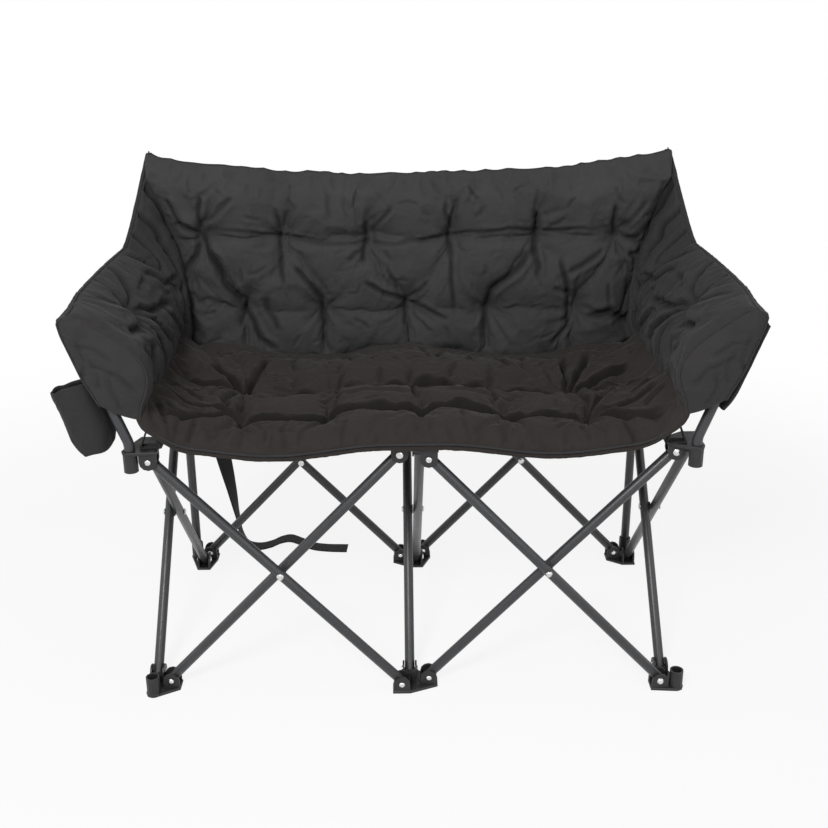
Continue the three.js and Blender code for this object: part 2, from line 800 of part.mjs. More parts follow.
for (const [side, outward] of [['left', -1], ['right', 1]]) {
  addMesh(`${side}_wing`, toGeometry(wingSolid(outward)), quiltedCloth);
}

// Back: stands against the rear hem of the seat between the wings. Its top edge dips, and it leans and bows
function backMiddle(xShare, z) {
  const lean = BACK_LEAN * ((z - hubTop) / (backCorner - hubTop));
  const bow = BACK_BOW * (1 - xShare ** 2);
  return rowDepth - BACK_FOOT + lean + bow;
}

// The inner face of the wing where the back meets it, at a height
function backEdge(z) {
  const u = (backMiddle(1, z) - wingFrontY) / (wingRearY - wingFrontY);
  const v = THREE.MathUtils.clamp((z - wingBottom(u)) / (wingTop(u) - wingBottom(u)), 0, 1);
  const { middle, half } = wingSection(u, v);
  return middle - half - BACK_SEAM;
}

const upperTufts = hubTop + UPPER_TUFT_RISE;
const backTufts = [
  ...tuftRow(upperTufts, seatEdge, 1 / 2),
  ...tuftRow(hubTop + LOWER_TUFT_RISE, seatEdge, 0),
];

addMesh('back_pad', padGeometry({
  length: 34,
  height: 11,
  place: (u, v, side) => {
    const edgeShare = 0.08;
    const rimShare = 0.2;
    const dipPower = 0.8;
    const across = 2 * u - 1;
    const x = across * backEdge(mix(hubTop + 2 * HEM, backCorner, v));
    const top = backCorner - BACK_DIP * (1 - across ** 2) ** dipPower;
    const z = mix(seatUnderside(x, seatRearY) + HEM, top, v);
    const puff = crown(u, v, edgeShare, rimShare) * tufted(x, z, backTufts, [upperTufts]);
    const fill = HEM + (side > 0 ? BACK_FILL : BACK_BACKING) * puff;
    return new THREE.Vector3(x, backMiddle(across, z) - side * fill, z);
  },
}), quiltedCloth);

// Bags that are open at the top hang outside the sleeves of the arm tubes and lean with them
function roundedRing(halfX, halfY, z) {
  const cornerShare = 0.5;
  const cornerSteps = 2;
  const radius = cornerShare * Math.min(halfX, halfY);
  const ring = [];
  for (const [quarter, [a, b]] of [[1, 1], [-1, 1], [-1, -1], [1, -1]].entries()) {
    for (let i = 0; i <= cornerSteps; i += 1) {
      const angle = (Math.PI / 2) * (quarter + i / cornerSteps);
      const x = a * (halfX - radius) + radius * Math.cos(angle);
      const y = b * (halfY - radius) + radius * Math.sin(angle);
      ring.push(new THREE.Vector3(x, y, z));
    }
  }
  return ring;
}

// The bottom is drawn in. inset leaves the wall, and past opens the top.
function bagSolid(bag, inset, past) {
  const halfX = bag.width / 2 - inset;
  const halfY = bag.length / 2 - inset;
  const heightShares = [0, 0.1, 0.35, 1];
  const widthShares = [0.58, 0.87, 1, 1];
  const rings = heightShares.map((share, i) => {
    return roundedRing(halfX * widthShares[i], halfY * widthShares[i], mix(inset, bag.height, share));
  });
  if (past) {
    rings.push(roundedRing(halfX, halfY, bag.height + past));
  }
  return toSolid(loft(rings));
}

function addBag(name, outward, bag) {
  const shell = bagSolid(bag, 0, 0).subtract(bagSolid(bag, BAG_WALL, CUT));
  const holder = new THREE.Group();
  addMesh(name, toGeometry(shell), pouchCloth, holder);
  const line = armLine(outward);
  const reach = (sleeveRadius + FIT) / Math.cos(ARM_LEAN - bag.lean) + bag.width / 2;
  const alongTube = (hubTop + bag.rise - armBend) / line.lean.z;
  holder.position.copy(line.corner).addScaledVector(line.lean, alongTube);
  holder.position.x += outward * (reach * Math.cos(bag.lean) - bag.height * Math.sin(bag.lean));
  holder.position.y += bag.length / 2 - bag.front;
  holder.position.z -= reach * Math.sin(bag.lean) + bag.height * Math.cos(bag.lean);
  holder.rotation.y = outward * bag.lean;
  chair.add(holder);
}

addBag('left_pouch', -1, {
  width: POUCH_WIDTH,
  length: POUCH_LENGTH,
  height: POUCH_HEIGHT,
  rise: POUCH_RISE,
  front: POUCH_FRONT,
  lean: POUCH_LEAN,
});
addBag('right_pocket', 1, {
  width: POCKET_WIDTH,
  length: POCKET_LENGTH,
  height: POCKET_HEIGHT,
  rise: POCKET_RISE,
  front: POCKET_FRONT,
  lean: ARM_LEAN,
});

// Webbing loops tie the front corners of the seat to the front corner hubs
for (const [side, outward] of [['left', -1], ['right', 1]]) {
  const middle = cornerX - LOOP_TIP / 2;
  const rearY = LOOP_WIDTH / 2;
  const height = seatUnderside(middle - LOOP_TIP, rearY) - hubTop - 2 * FIT - LOOP_THICKNESS / 2;
  const outline = new THREE.Shape([
    new THREE.Vector2(-LOOP_SPREAD / 2, 0),
    new THREE.Vector2(LOOP_SPREAD / 2, 0),
    new THREE.Vector2(LOOP_TIP / 2, height),
    new THREE.Vector2(-LOOP_TIP / 2, height),
  ]);
  outline.holes.push(new THREE.Path([
    new THREE.Vector2(-LOOP_SPREAD / 2 + 2 * LOOP_THICKNESS, LOOP_THICKNESS),
    new THREE.Vector2(-LOOP_TIP / 2 + LOOP_THICKNESS / 2, height - LOOP_THICKNESS),
    new THREE.Vector2(LOOP_TIP / 2 - LOOP_THICKNESS / 2, height - LOOP_THICKNESS),
    new THREE.Vector2(LOOP_SPREAD / 2 - 2 * LOOP_THICKNESS, LOOP_THICKNESS),
  ]));
  const band = new THREE.ExtrudeGeometry(outline, { depth: LOOP_WIDTH, bevelEnabled: false });
  band.rotateX(Math.PI / 2);
  const loop = addMesh(`${side}_corner_loop`, toGeometry(toSolid(band)), webbing);
  loop.position.set(outward * middle, rearY, hubTop + FIT);
}

// Carry strap: sewn to the rear hem of the seat, runs over the rear left hub, hangs down behind it
// and lies on the floor. Each entry is a place and how far the strap is turned, in degrees.
const strapFloor = STRAP_THICKNESS / 2 + FIT;
const strapTop = hubTop + 2 * FIT + STRAP_THICKNESS / 2;
const strapRoute = [
  [-462, seatRearY + FIT, strapTop, 0],
  [-462, 495, strapTop, 0],
  [-462, 522, strapTop + 1, 0],
  [-462, 541, 510, 0],
  [-461, 548, 482, 0],
  [-458, 551, 410, 0],
  [-449, 553, 330, 10],
  [-436, 555, 250, 35],
  [-423, 558, 170, 65],
  [-413, 561, 95, 85],
  [-406, 565, 38, 90],
  [-393, 568, 10, 90],
  [-368, 571, strapFloor, 90],
  [-338, 573, 6, 90],
  [-312, 574, 17, 90],
  [-290, 573, 21, 90],
  [-266, 570, 14, 90],
  [-238, 565, 4, 90],
  [-205, 560, strapFloor, 90],
  [-154, 556, strapFloor, 90],
];
const STRAP_STEPS = 30;
const strapCurve = new THREE.CatmullRomCurve3(strapRoute.map(([x, y, z]) => new THREE.Vector3(x, y, z)));
const strapRings = [];
for (let i = 0; i <= STRAP_STEPS; i += 1) {
  const t = i / STRAP_STEPS;
  const place = t * (strapRoute.length - 1);
  const before = Math.min(Math.floor(place), strapRoute.length - 2);
  const turn = mix(strapRoute[before][3], strapRoute[before + 1][3], place - before);
  const angle = THREE.MathUtils.degToRad(turn);
  const centre = strapCurve.getPoint(t);
  const forward = strapCurve.getTangent(t);
  const across = new THREE.Vector3(Math.cos(angle), Math.sin(angle), 0);
  across.addScaledVector(forward, -across.dot(forward)).normalize();
  const face = new THREE.Vector3().crossVectors(forward, across);
  const edgeShare = 0.94;
  const sectionShares = [
    [1, 0], [edgeShare, 1], [0, 1], [-edgeShare, 1], [-1, 0], [-edgeShare, -1], [0, -1], [edgeShare, -1],
  ];
  strapRings.push(sectionShares.map(([a, b]) => centre.clone()
    .addScaledVector(across, (a * STRAP_WIDTH) / 2)
    .addScaledVector(face, (b * STRAP_THICKNESS) / 2)));
}
addMesh('carry_strap', loft(strapRings), webbing);


export default chair;
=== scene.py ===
import json
import math

import bmesh
import bpy
import numpy as np
from mathutils import Matrix, Vector, noise

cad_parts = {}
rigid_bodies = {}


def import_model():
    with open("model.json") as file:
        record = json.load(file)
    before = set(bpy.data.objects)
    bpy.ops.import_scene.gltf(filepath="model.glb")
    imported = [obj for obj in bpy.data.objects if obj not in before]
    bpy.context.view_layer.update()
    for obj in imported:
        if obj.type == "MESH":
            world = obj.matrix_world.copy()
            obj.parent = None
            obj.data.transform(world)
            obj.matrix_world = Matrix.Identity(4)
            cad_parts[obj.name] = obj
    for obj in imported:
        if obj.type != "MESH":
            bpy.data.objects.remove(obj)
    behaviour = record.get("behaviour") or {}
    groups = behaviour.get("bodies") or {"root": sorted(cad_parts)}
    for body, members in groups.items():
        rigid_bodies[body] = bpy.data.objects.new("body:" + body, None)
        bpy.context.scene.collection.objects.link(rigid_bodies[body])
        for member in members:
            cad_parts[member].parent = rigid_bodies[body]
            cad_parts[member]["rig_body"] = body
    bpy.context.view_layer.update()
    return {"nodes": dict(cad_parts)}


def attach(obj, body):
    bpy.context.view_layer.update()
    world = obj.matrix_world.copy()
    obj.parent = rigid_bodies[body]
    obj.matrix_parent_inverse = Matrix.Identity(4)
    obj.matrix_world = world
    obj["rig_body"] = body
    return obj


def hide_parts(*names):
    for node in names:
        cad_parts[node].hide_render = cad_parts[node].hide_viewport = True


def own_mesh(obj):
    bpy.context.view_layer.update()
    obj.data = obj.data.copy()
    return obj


bl_info = {
    "name": "Folding Two-Seat Camping Chair",
    "version": (1, 0, 0),
    "blender": (4, 5, 0),
    "location": "View3D > Sidebar > Camping Chair",
    "description": "Dresses the frame of a folding two-seat camping chair with tubes, quilts and webbing",
    "category": "Object",
}

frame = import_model()
NODES = frame["nodes"]
MM = 0.001

# Sizes and places of the frame in millimetres, as in its source
HUB_TOP = 515.584
HUB_HEIGHT = 40.5
HUB_PIVOT_Z = HUB_TOP - 20.5
FOOT_PIVOT_Z = 20.0
CORNER_X = 474.0
ROW_DEPTH = 508.0
SOCKET_X = 506.0
ROW_PIVOT_X = 26.0
DEPTH_PIVOT_INSET = 30.0
CORNER_DEPTH_OUTSET = 20.0
PIVOT_HALF = 13.8
ARM_Y = -15.0
ARM_BEND = HUB_TOP + 14.0
ARM_BEND_RADIUS = 45.0
ARM_LEAN = math.radians(20)
ARM_TOP = HUB_TOP + 231.0
ARM_SOCKET_FLOOR = 4.3
TUBE_R = 9.5
FIT = 0.3
HEM = 5.0
SLEEVE_R = 14.3
SEAT_EDGE = 479.0
SEAT_FRONT_Y = -31.0
SEAT_REAR_Y = 470.0
SEAT_SEAM_Y = 219.5
WING_FRONT_Y = -39.0
WING_REAR_Y = 537.5
BACK_CORNER = HUB_TOP + 437.0


# Sizes and colours that a user changes

def length_setting(name, description, default):
    return bpy.props.FloatProperty(name=name, description=description, default=default, unit="LENGTH",
                                   subtype="DISTANCE")


def power_setting(name, description, default):
    return bpy.props.FloatProperty(name=name, description=description, default=default, unit="POWER")


def share_setting(name, description, default, highest=1.0):
    return bpy.props.FloatProperty(name=name, description=description, default=default, min=0, max=highest,
                                   subtype="FACTOR")


def colour_setting(name, description, default):
    return bpy.props.FloatVectorProperty(name=name, description=description, default=default, size=3, min=0,
                                         max=1, subtype="COLOR")


class FrameSizes(bpy.types.PropertyGroup):
    """Sizes of the tubes, rivets and mouldings"""
    tube_wall: length_setting("Tube wall", "Thickness of the steel tube's wall", 0.0013)
    tube_sides: bpy.props.IntProperty(name="Tube sides", description="Flats round each tube", default=40,
                                      min=12)
    rivet_radius: length_setting("Rivet head radius", "Radius of a domed rivet head", 0.0067)
    rivet_rise: length_setting("Rivet head height", "Height of a domed rivet head", 0.0031)
    moulding_round: length_setting("Moulding edge radius", "Rounding of moulded edges", 0.0008)


class CoverSizes(bpy.types.PropertyGroup):
    """Sizes of the quilted cover"""
    grid: length_setting("Cloth grid", "Spacing of the cloth's points", 0.006)
    slack: share_setting("Spare cloth", "Share by which the cloth is cut larger", 0.11, 0.3)
    pressure: bpy.props.FloatProperty(name="Filling pressure", default=4.5, min=0,
                                      description="How hard the filling pushes outwards")
    swell: length_setting("Most swelling", "How far a point may move while it fills", 0.02)
    piping: length_setting("Piping radius", "Radius of the cord in the piped seams", 0.0019)


class FinishColours(bpy.types.PropertyGroup):
    """Colours of the finishes"""
    # The quilt is one cloth in three greys, as lit and shaded copies. The wings' grey (cloth) and the seat's
    # grey are darkened as painted shade, for the shade that they lie in. The back's grey is lighter as
    # painted light, for the light that it faces.
    cloth: colour_setting("Cloth", "Dark grey of the quilted cloth", (0.0348, 0.0331, 0.0335))
    cloth_cool_lit: colour_setting("Cloth, cool", "Cooler grey of the back's panel", (0.0466, 0.0463, 0.0473))
    cloth_warm_shaded: colour_setting("Cloth, warm", "Warmer grey of the seat's panels", (0.0293, 0.0254, 0.0237))
    steel: colour_setting("Powder coat", "Dark grey of the coated steel", (0.042, 0.043, 0.046))
    plastic: colour_setting("Mouldings", "Black of the moulded plastic", (0.0167, 0.0167, 0.0174))
    nickel: colour_setting("Rivets", "Bright nickel of the rivets", (0.72, 0.72, 0.71))
    webbing: colour_setting("Webbing", "Black of the straps and bindings", (0.0195, 0.0195, 0.0209))


class StageSettings(bpy.types.PropertyGroup):
    """Lamps and floor"""
    key: power_setting("Key lamp", "Power of the lamp in front on the left", 81)
    fill: power_setting("Fill lamps", "Power of the lamps on the right and at the sides", 8.7)
    top: power_setting("Top lamps", "Power of the lamps overhead and behind", 7.2)
    sky: bpy.props.FloatProperty(name="Surround", description="Strength of the light from all round",
                                 default=0.145, min=0)
    floor_shadow: share_setting("Floor shadow", "How much of the shadow the floor shows", 0.13)


# Shader nodes

def node(tree, kind, values=None, **settings):
    """A new node with its settings, and with values or links on its input sockets"""
    made = tree.nodes.new(kind)
    for name, value in settings.items():
        setattr(made, name, value)
    for key, value in (values or {}).items():
        if isinstance(value, bpy.types.NodeSocket):
            tree.links.new(value, made.inputs[key])
        else:
            made.inputs[key].default_value = value
    return made


def maths(tree, operation, a, b=0.0, clamp=False):
    return node(tree, "ShaderNodeMath", {0: a, 1: b}, operation=operation, use_clamp=clamp).outputs[0]


def mixed(tree, amount, a, b):
    """Colour a to b by an amount from 0 to 1"""
    return node(tree, "ShaderNodeMix", {0: amount, 6: a, 7: b}, data_type="RGBA").outputs[2]


def noise_node(tree, place, scale, detail, **values):
    sockets = {"Vector": place, "Scale": scale, "Detail": detail, **values}
    return node(tree, "ShaderNodeTexNoise", sockets).outputs[0]


def shader_group(name, inputs, outputs):
    """A new node group with named sockets: (tree, its inputs, its output node)"""
    tree = bpy.data.node_groups.new(name, "ShaderNodeTree")
    for socket, kind, value in inputs:
        made = tree.interface.new_socket(socket, in_out="INPUT", socket_type=kind)
        if value is not None:
            made.default_value = value
    for socket in outputs:
        tree.interface.new_socket(socket, in_out="OUTPUT", socket_type="NodeSocketFloat")
    return tree, tree.nodes.new("NodeGroupInput").outputs, tree.nodes.new("NodeGroupOutput")


def weave_group():
    """Plain weave of crossed threads, with slubs: height and shade"""
    tree, given, out = shader_group(
        "Plain Weave",
        [("Vector", "NodeSocketVector", None), ("Thread", "NodeSocketFloat", 0.0006)],
        ["Height", "Shade"])
    place = node(tree, "ShaderNodeSeparateXYZ", {0: given["Vector"]}).outputs
    turn = maths(tree, "DIVIDE", math.pi, given["Thread"])
    along = maths(tree, "SINE", maths(tree, "MULTIPLY", place[0], turn))
    across = maths(tree, "SINE", maths(tree, "MULTIPLY", place[1], turn))
    over = maths(tree, "MULTIPLY", along, across)
    slub = noise_node(tree, given["Vector"], 900.0, 3.0)
    height = maths(tree, "ADD", maths(tree, "MULTIPLY", over, 0.35), slub)
    streaks = node(tree, "ShaderNodeMapping", {"Vector": given["Vector"], "Scale": (60.0, 700.0, 300.0)})
    streak = noise_node(tree, streaks.outputs[0], 1.0, 2.0)
    shade = maths(tree, "ADD", maths(tree, "MULTIPLY", over, 0.18), streak)
    tree.links.new(height, out.inputs["Height"])
    tree.links.new(shade, out.inputs["Shade"])
    return tree


def marks_group():
    """Soft patches from handling, and specks of dust, both as masks"""
    tree, given, out = shader_group(
        "Handling Marks",
        [("Vector", "NodeSocketVector", None), ("Size", "NodeSocketFloat", 0.1),
         ("Contrast", "NodeSocketFloat", 1.0)],
        ["Mask", "Specks"])
    scale = maths(tree, "DIVIDE", 1.0, given["Size"])
    patches = noise_node(tree, given["Vector"], scale, 4.0, Roughness=0.6)
    mask = maths(tree, "MULTIPLY", maths(tree, "SUBTRACT", patches, 0.5), given["Contrast"])
    mask = maths(tree, "ADD", mask, 0.5, clamp=True)
    dust_scale = maths(tree, "MULTIPLY", scale, 45.0)
    fine = noise_node(tree, given["Vector"], dust_scale, 2.0)
    specks = node(tree, "ShaderNodeMapRange", {"Value": fine, "From Min": 0.68, "From Max": 0.78}).outputs[0]
    tree.links.new(mask, out.inputs["Mask"])
    tree.links.new(specks, out.inputs["Specks"])
    return tree


GROUPS = {"Plain Weave": weave_group, "Handling Marks": marks_group}


def placed_group(tree, name, values):
    """The outputs of a shared group, which is built on its first use"""
    group = bpy.data.node_groups.get(name) or GROUPS[name]()
    return node(tree, "ShaderNodeGroup", values, node_tree=group).outputs


# Materials

def new_material(name):
    """(material, tree, Principled BSDF)"""
    material = bpy.data.materials.new(name)
    material.use_nodes = True
    return material, material.node_tree, material.node_tree.nodes["Principled BSDF"]


def shade(base, factor):
    return tuple(c * factor for c in base) + (1.0,)


def marked(tree, place, base, size, contrast, low, high):
    """The group of handling marks, and the base colour between two factors by its mask"""
    marks = placed_group(tree, "Handling Marks", {"Vector": place, "Size": size, "Contrast": contrast})
    return marks, mixed(tree, marks["Mask"], shade(base, low), shade(base, high))


def tinted(tree, surface, mask, amount, tint):
    """A surface's colour with a tint laid over it where a mask is high"""
    return mixed(tree, maths(tree, "MULTIPLY", mask, amount), surface, tint)


def bumped(tree, height, distance, **values):
    return node(tree, "ShaderNodeBump", {"Height": height, "Distance": distance, **values}).outputs[0]


def worn_roughness(tree, shader, mask, low, high):
    rough = node(tree, "ShaderNodeMapRange", {"Value": mask, "To Min": low, "To Max": high}).outputs[0]
    tree.links.new(rough, shader.inputs["Roughness"])


def object_place(tree):
    return node(tree, "ShaderNodeTexCoord").outputs["Object"]


def cloth_material(name, base, thread=0.0006, contrast=1.5):
    """Woven polyester on the piece's own UV map, which is in metres. It is darker inside its folds, which is
    painted shade.
    """
    material, tree, shader = new_material(name)
    place = node(tree, "ShaderNodeUVMap", uv_map="weave").outputs[0]
    weave = placed_group(tree, "Plain Weave", {"Vector": place, "Thread": thread})
    marks, surface = marked(tree, place, base, 0.11, contrast, 0.84, 1.18)
    surface = tinted(tree, surface, weave["Shade"], 0.35, shade(base, 1.5))
    surface = tinted(tree, surface, marks["Specks"], 0.25, shade(base, 2.2))
    # Painted shade: the colour darkens where the fold attribute is high, in and just behind the pressed folds
    depth = node(tree, "ShaderNodeAttribute", attribute_name="fold").outputs["Fac"]
    surface = tinted(tree, surface, depth, 0.75, shade(base, 0.3))
    tree.links.new(surface, shader.inputs["Base Color"])
    crumple = noise_node(tree, place, 38.0, 5.0, Roughness=0.55, Distortion=0.6)
    soft = bumped(tree, crumple, 0.0028)
    tree.links.new(bumped(tree, weave["Height"], 0.00018, Normal=soft), shader.inputs["Normal"])
    shader.inputs["Roughness"].default_value = 0.86
    shader.inputs["Specular IOR Level"].default_value = 0.16
    shader.inputs["Sheen Weight"].default_value = 0.05
    shader.inputs["Sheen Roughness"].default_value = 0.45
    return material


def webbing_material(name, base, rib=0.0016):
    """Ribbed narrow webbing on the piece's own UV map, which runs along the strap"""
    material, tree, shader = new_material(name)
    place = node(tree, "ShaderNodeUVMap", uv_map="weave").outputs[0]
    weave = placed_group(tree, "Plain Weave", {"Vector": place, "Thread": rib})
    _, surface = marked(tree, place, base, 0.05, 1.2, 0.75, 1.5)
    surface = tinted(tree, surface, weave["Shade"], 0.4, shade(base, 2.2))
    tree.links.new(surface, shader.inputs["Base Color"])
    tree.links.new(bumped(tree, weave["Height"], 0.0005), shader.inputs["Normal"])
    shader.inputs["Roughness"].default_value = 0.78
    shader.inputs["Specular IOR Level"].default_value = 0.25
    return material


def coated_steel(name, base):
    """Satin powder coat with fine orange peel and faint scuffs"""
    material, tree, shader = new_material(name)
    place = object_place(tree)
    marks, surface = marked(tree, place, base, 0.06, 1.3, 0.88, 1.15)
    surface = tinted(tree, surface, marks["Specks"], 0.2, shade(base, 2.4))
    tree.links.new(surface, shader.inputs["Base Color"])
    worn_roughness(tree, shader, marks["Mask"], 0.27, 0.4)
    peel = noise_node(tree, place, 1400.0, 2.0)
    tree.links.new(bumped(tree, peel, 0.00012), shader.inputs["Normal"])
    shader.inputs["Specular IOR Level"].default_value = 0.42
    return material


def moulded_plastic(name, base):
    """Spark-grained nylon moulding with dust in the grain"""
    material, tree, shader = new_material(name)
    place = object_place(tree)
    marks, surface = marked(tree, place, base, 0.03, 1.6, 0.8, 1.6)
    surface = tinted(tree, surface, marks["Specks"], 0.3, shade(base, 4.0))
    tree.links.new(surface, shader.inputs["Base Color"])
    worn_roughness(tree, shader, marks["Mask"], 0.38, 0.58)
    grain = node(tree, "ShaderNodeTexVoronoi", {"Vector": place, "Scale": 1100.0}).outputs[0]
    tree.links.new(bumped(tree, grain, 0.0001), shader.inputs["Normal"])
    shader.inputs["Specular IOR Level"].default_value = 0.4
    return material


def nickel_plate(name, base):
    """Bright plated steel with fine turning rings and tarnish"""
    material, tree, shader = new_material(name)
    place = object_place(tree)
    marks, surface = marked(tree, place, base, 0.004, 1.8, 0.75, 1.1)
    tree.links.new(surface, shader.inputs["Base Color"])
    worn_roughness(tree, shader, marks["Mask"], 0.2, 0.36)
    fine = noise_node(tree, place, 2600.0, 2.0)
    tree.links.new(bumped(tree, fine, 0.00004), shader.inputs["Normal"])
    shader.inputs["Metallic"].default_value = 1.0
    return material


# Each finish: its material's maker, the colour setting that it takes, and a factor on that colour
FINISHES = {
    "powder coated tube": (coated_steel, "steel", 1.0),
    "moulded nylon": (moulded_plastic, "plastic", 1.0),
    "nickel rivet": (nickel_plate, "nickel", 1.0),
    "spacer nylon": (moulded_plastic, "plastic", 2.2),
    # The wing, back and seat cloths are lit and shaded copies of one cloth: their greys hold painted light
    # and shade
    "wing cloth": (cloth_material, "cloth", 1.0),
    "back cloth": (cloth_material, "cloth_cool_lit", 1.0),
    "seat cloth": (cloth_material, "cloth_warm_shaded", 1.0),
    "bag cloth": (cloth_material, "cloth", 0.85),
    "binding tape": (webbing_material, "webbing", 1.2),
    "strap webbing": (webbing_material, "webbing", 1.0),
}
WEAVES = {"bag cloth": {"thread": 0.0008, "contrast": 1.2}, "binding tape": {"rib": 0.0009}}


def finish(name):
    """The material of that name, made on first use"""
    if name in bpy.data.materials:
        return bpy.data.materials[name]
    maker, setting, factor = FINISHES[name]
    base = tuple(factor * c for c in getattr(bpy.context.scene.chair_colours, setting))
    return maker(name, base, **WEAVES.get(name, {}))


# Meshes

def in_scene(name, data):
    """A new object of the data, linked to the scene"""
    obj = bpy.data.objects.new(name, data)
    bpy.context.scene.collection.objects.link(obj)
    return obj


def piece_from(bm, name, body, finish_name, shaded_smooth=True):
    """An object of the bmesh's faces, in metres at its place, that rides on a body"""
    mesh = bpy.data.meshes.new(name)
    bm.to_mesh(mesh)
    bm.free()
    obj = in_scene(name, mesh)
    mesh.materials.append(finish(finish_name))
    mesh.polygons.foreach_set("use_smooth", [shaded_smooth] * len(mesh.polygons))
    mesh.update()
    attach(obj, body)
    return obj


def body_of(node_name):
    return NODES[node_name]["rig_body"]


def read_points(mesh, what="co"):
    """The place of each vertex, or with "normal" its normal, one row for each"""
    values = np.zeros(len(mesh.vertices) * 3)
    mesh.vertices.foreach_get(what, values)
    return values.reshape(-1, 3)


def write_points(mesh, points):
    mesh.vertices.foreach_set("co", points.ravel())
    mesh.update()


def corner_vertices(mesh):
    """The vertex of each face corner"""
    corners = np.zeros(len(mesh.loops), dtype=np.int32)
    mesh.loops.foreach_get("vertex_index", corners)
    return corners


def write_weave(mesh, places):
    """places is one (u, v) in metres for each vertex"""
    layer = mesh.uv_layers.get("weave") or mesh.uv_layers.new(name="weave")
    layer.data.foreach_set("uv", np.asarray(places, dtype=np.float32)[corner_vertices(mesh)].ravel())


def flat_weave(mesh, up):
    """A UV map in metres: the sum of two axes, and the third one, up"""
    points = read_points(mesh)
    others = [i for i in range(3) if i != up]
    write_weave(mesh, np.stack([points[:, others].sum(1), points[:, up]], 1))


def add_modifier(obj, name, kind, **settings):
    made = obj.modifiers.new(name, kind)
    for key, value in settings.items():
        setattr(made, key, value)
    return made


def applied(obj):
    """The object with its modifiers made part of its mesh"""
    graph = bpy.context.evaluated_depsgraph_get()
    graph.update()
    shown = obj.evaluated_get(graph)
    mesh = bpy.data.meshes.new_from_object(shown, preserve_all_data_layers=True, depsgraph=graph)
    obj.modifiers.clear()
    old = obj.data
    obj.data = mesh
    bpy.data.meshes.remove(old)
    return obj


def turned_out(bm):
    """Make all faces of a closed bmesh face outwards"""
    bmesh.ops.recalc_face_normals(bm, faces=bm.faces)
    if bm.calc_volume(signed=True) < 0:
        bmesh.ops.reverse_faces(bm, faces=bm.faces)


def only(geometry, kind):
    return [g for g in geometry if isinstance(g, kind)]


def next_ring(bm, edges):
    """Extrude a ring of edges: the new vertices, and the new edges between them"""
    grown = bmesh.ops.extrude_edge_only(bm, edges=edges)["geom"]
    ring = only(grown, bmesh.types.BMVert)
    new = set(ring)
    return ring, [e for e in only(grown, bmesh.types.BMEdge) if e.verts[0] in new and e.verts[1] in new]


def round_along(points, radius, sides):
    """A bmesh circle carried along points, closed at both ends"""
    bm = bmesh.new()
    angles = bm.verts.layers.float.new("angle")
    points = [Vector(p) for p in points]
    last = len(points) - 1
    normal = None
    edges = []
    for i, point in enumerate(points):
        heading = (points[min(i + 1, last)] - points[max(i - 1, 0)]).normalized()
        if normal is None:
            guess = Vector((0, 0, 1)) if abs(heading.z) < 0.9 else Vector((1, 0, 0))
            normal = heading.cross(guess).normalized()
            ring = bmesh.ops.create_circle(bm, cap_ends=True, segments=sides, radius=radius)["verts"]
            for vert in ring:
                vert[angles] = math.atan2(vert.co.y, vert.co.x)
            edges = list(bm.edges)
        else:
            normal = (normal - heading * normal.dot(heading)).normalized()
            ring, edges = next_ring(bm, edges)
        side = heading.cross(normal)
        for vert in ring:
            vert.co = point + (normal * math.cos(vert[angles]) + side * math.sin(vert[angles])) * radius
    bmesh.ops.contextual_create(bm, geom=edges)
    turned_out(bm)
    return bm


def standing(place, axis):
    """The matrix that carries a form from the upright axis to a place and an axis there"""
    turn = Vector((0, 0, 1)).rotation_difference(axis).to_matrix().to_4x4()
    return Matrix.Translation(place) @ turn


def merged_copy(name):
    """A bmesh of a node, with its points merged and its flat parts in one piece"""
    bm = bmesh.new()
    bm.from_mesh(NODES[name].data)
    bmesh.ops.remove_doubles(bm, verts=bm.verts, dist=2e-5)
    bmesh.ops.dissolve_limit(bm, angle_limit=math.radians(1.5), verts=bm.verts, edges=bm.edges)
    return bm


# The frame's tubes, rivets and mouldings

CROSS_TUBES = sorted(n for n in NODES if n.endswith(("_rising_tube", "_falling_tube", "_foot_tube")))
MOULDINGS = sorted(n for n in NODES if n.endswith(("_foot", "_hub")))
CROSSINGS = sorted(n.removesuffix("_rivet") for n in NODES if n.endswith("_rivet"))
BEND_STEPS = 8
RIM_ROUND = 0.0003
SHARP_RIM = math.radians(50)
SHARP_MOULDING = math.radians(28)
HEAD_SINK = 0.0002
HEAD_PROFILE = ((1.0, 0.3), (0.86, 0.62), (0.6, 0.88), (0.28, 0.99))
CROSSING_HALF = 2 * TUBE_R + 1.2
SPACER_BORE_R = 3.3
SPACER_R = 9.4
SPACER_HALF = 0.7


def tube_axis(node_name):
    """Both ends of a straight tube's centre line, from its node's points"""
    points = read_points(NODES[node_name].data)
    middle = (points.min(0) + points.max(0)) / 2
    _, _, rows = np.linalg.svd(points - points.mean(0), full_matrices=False)
    along = rows[0]
    reach = (points - middle) @ along
    return middle + along * reach.min(), middle + along * reach.max()


def add_tube(node_name, points, sizes):
    """A smooth round tube with an open bore and rounded ends, in the place of a node"""
    bm = round_along(points, TUBE_R * MM, sizes.tube_sides)
    caps = [f for f in bm.faces if len(f.verts) > 4]
    bmesh.ops.delete(bm, geom=caps, context="FACES_ONLY")
    obj = piece_from(bm, node_name + "_round", body_of(node_name), "powder coated tube")
    add_modifier(obj, "wall", "SOLIDIFY", thickness=sizes.tube_wall, offset=-1)
    add_modifier(obj, "rim", "BEVEL", width=RIM_ROUND, segments=2, limit_method="ANGLE",
                 angle_limit=SHARP_RIM)
    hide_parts(node_name)


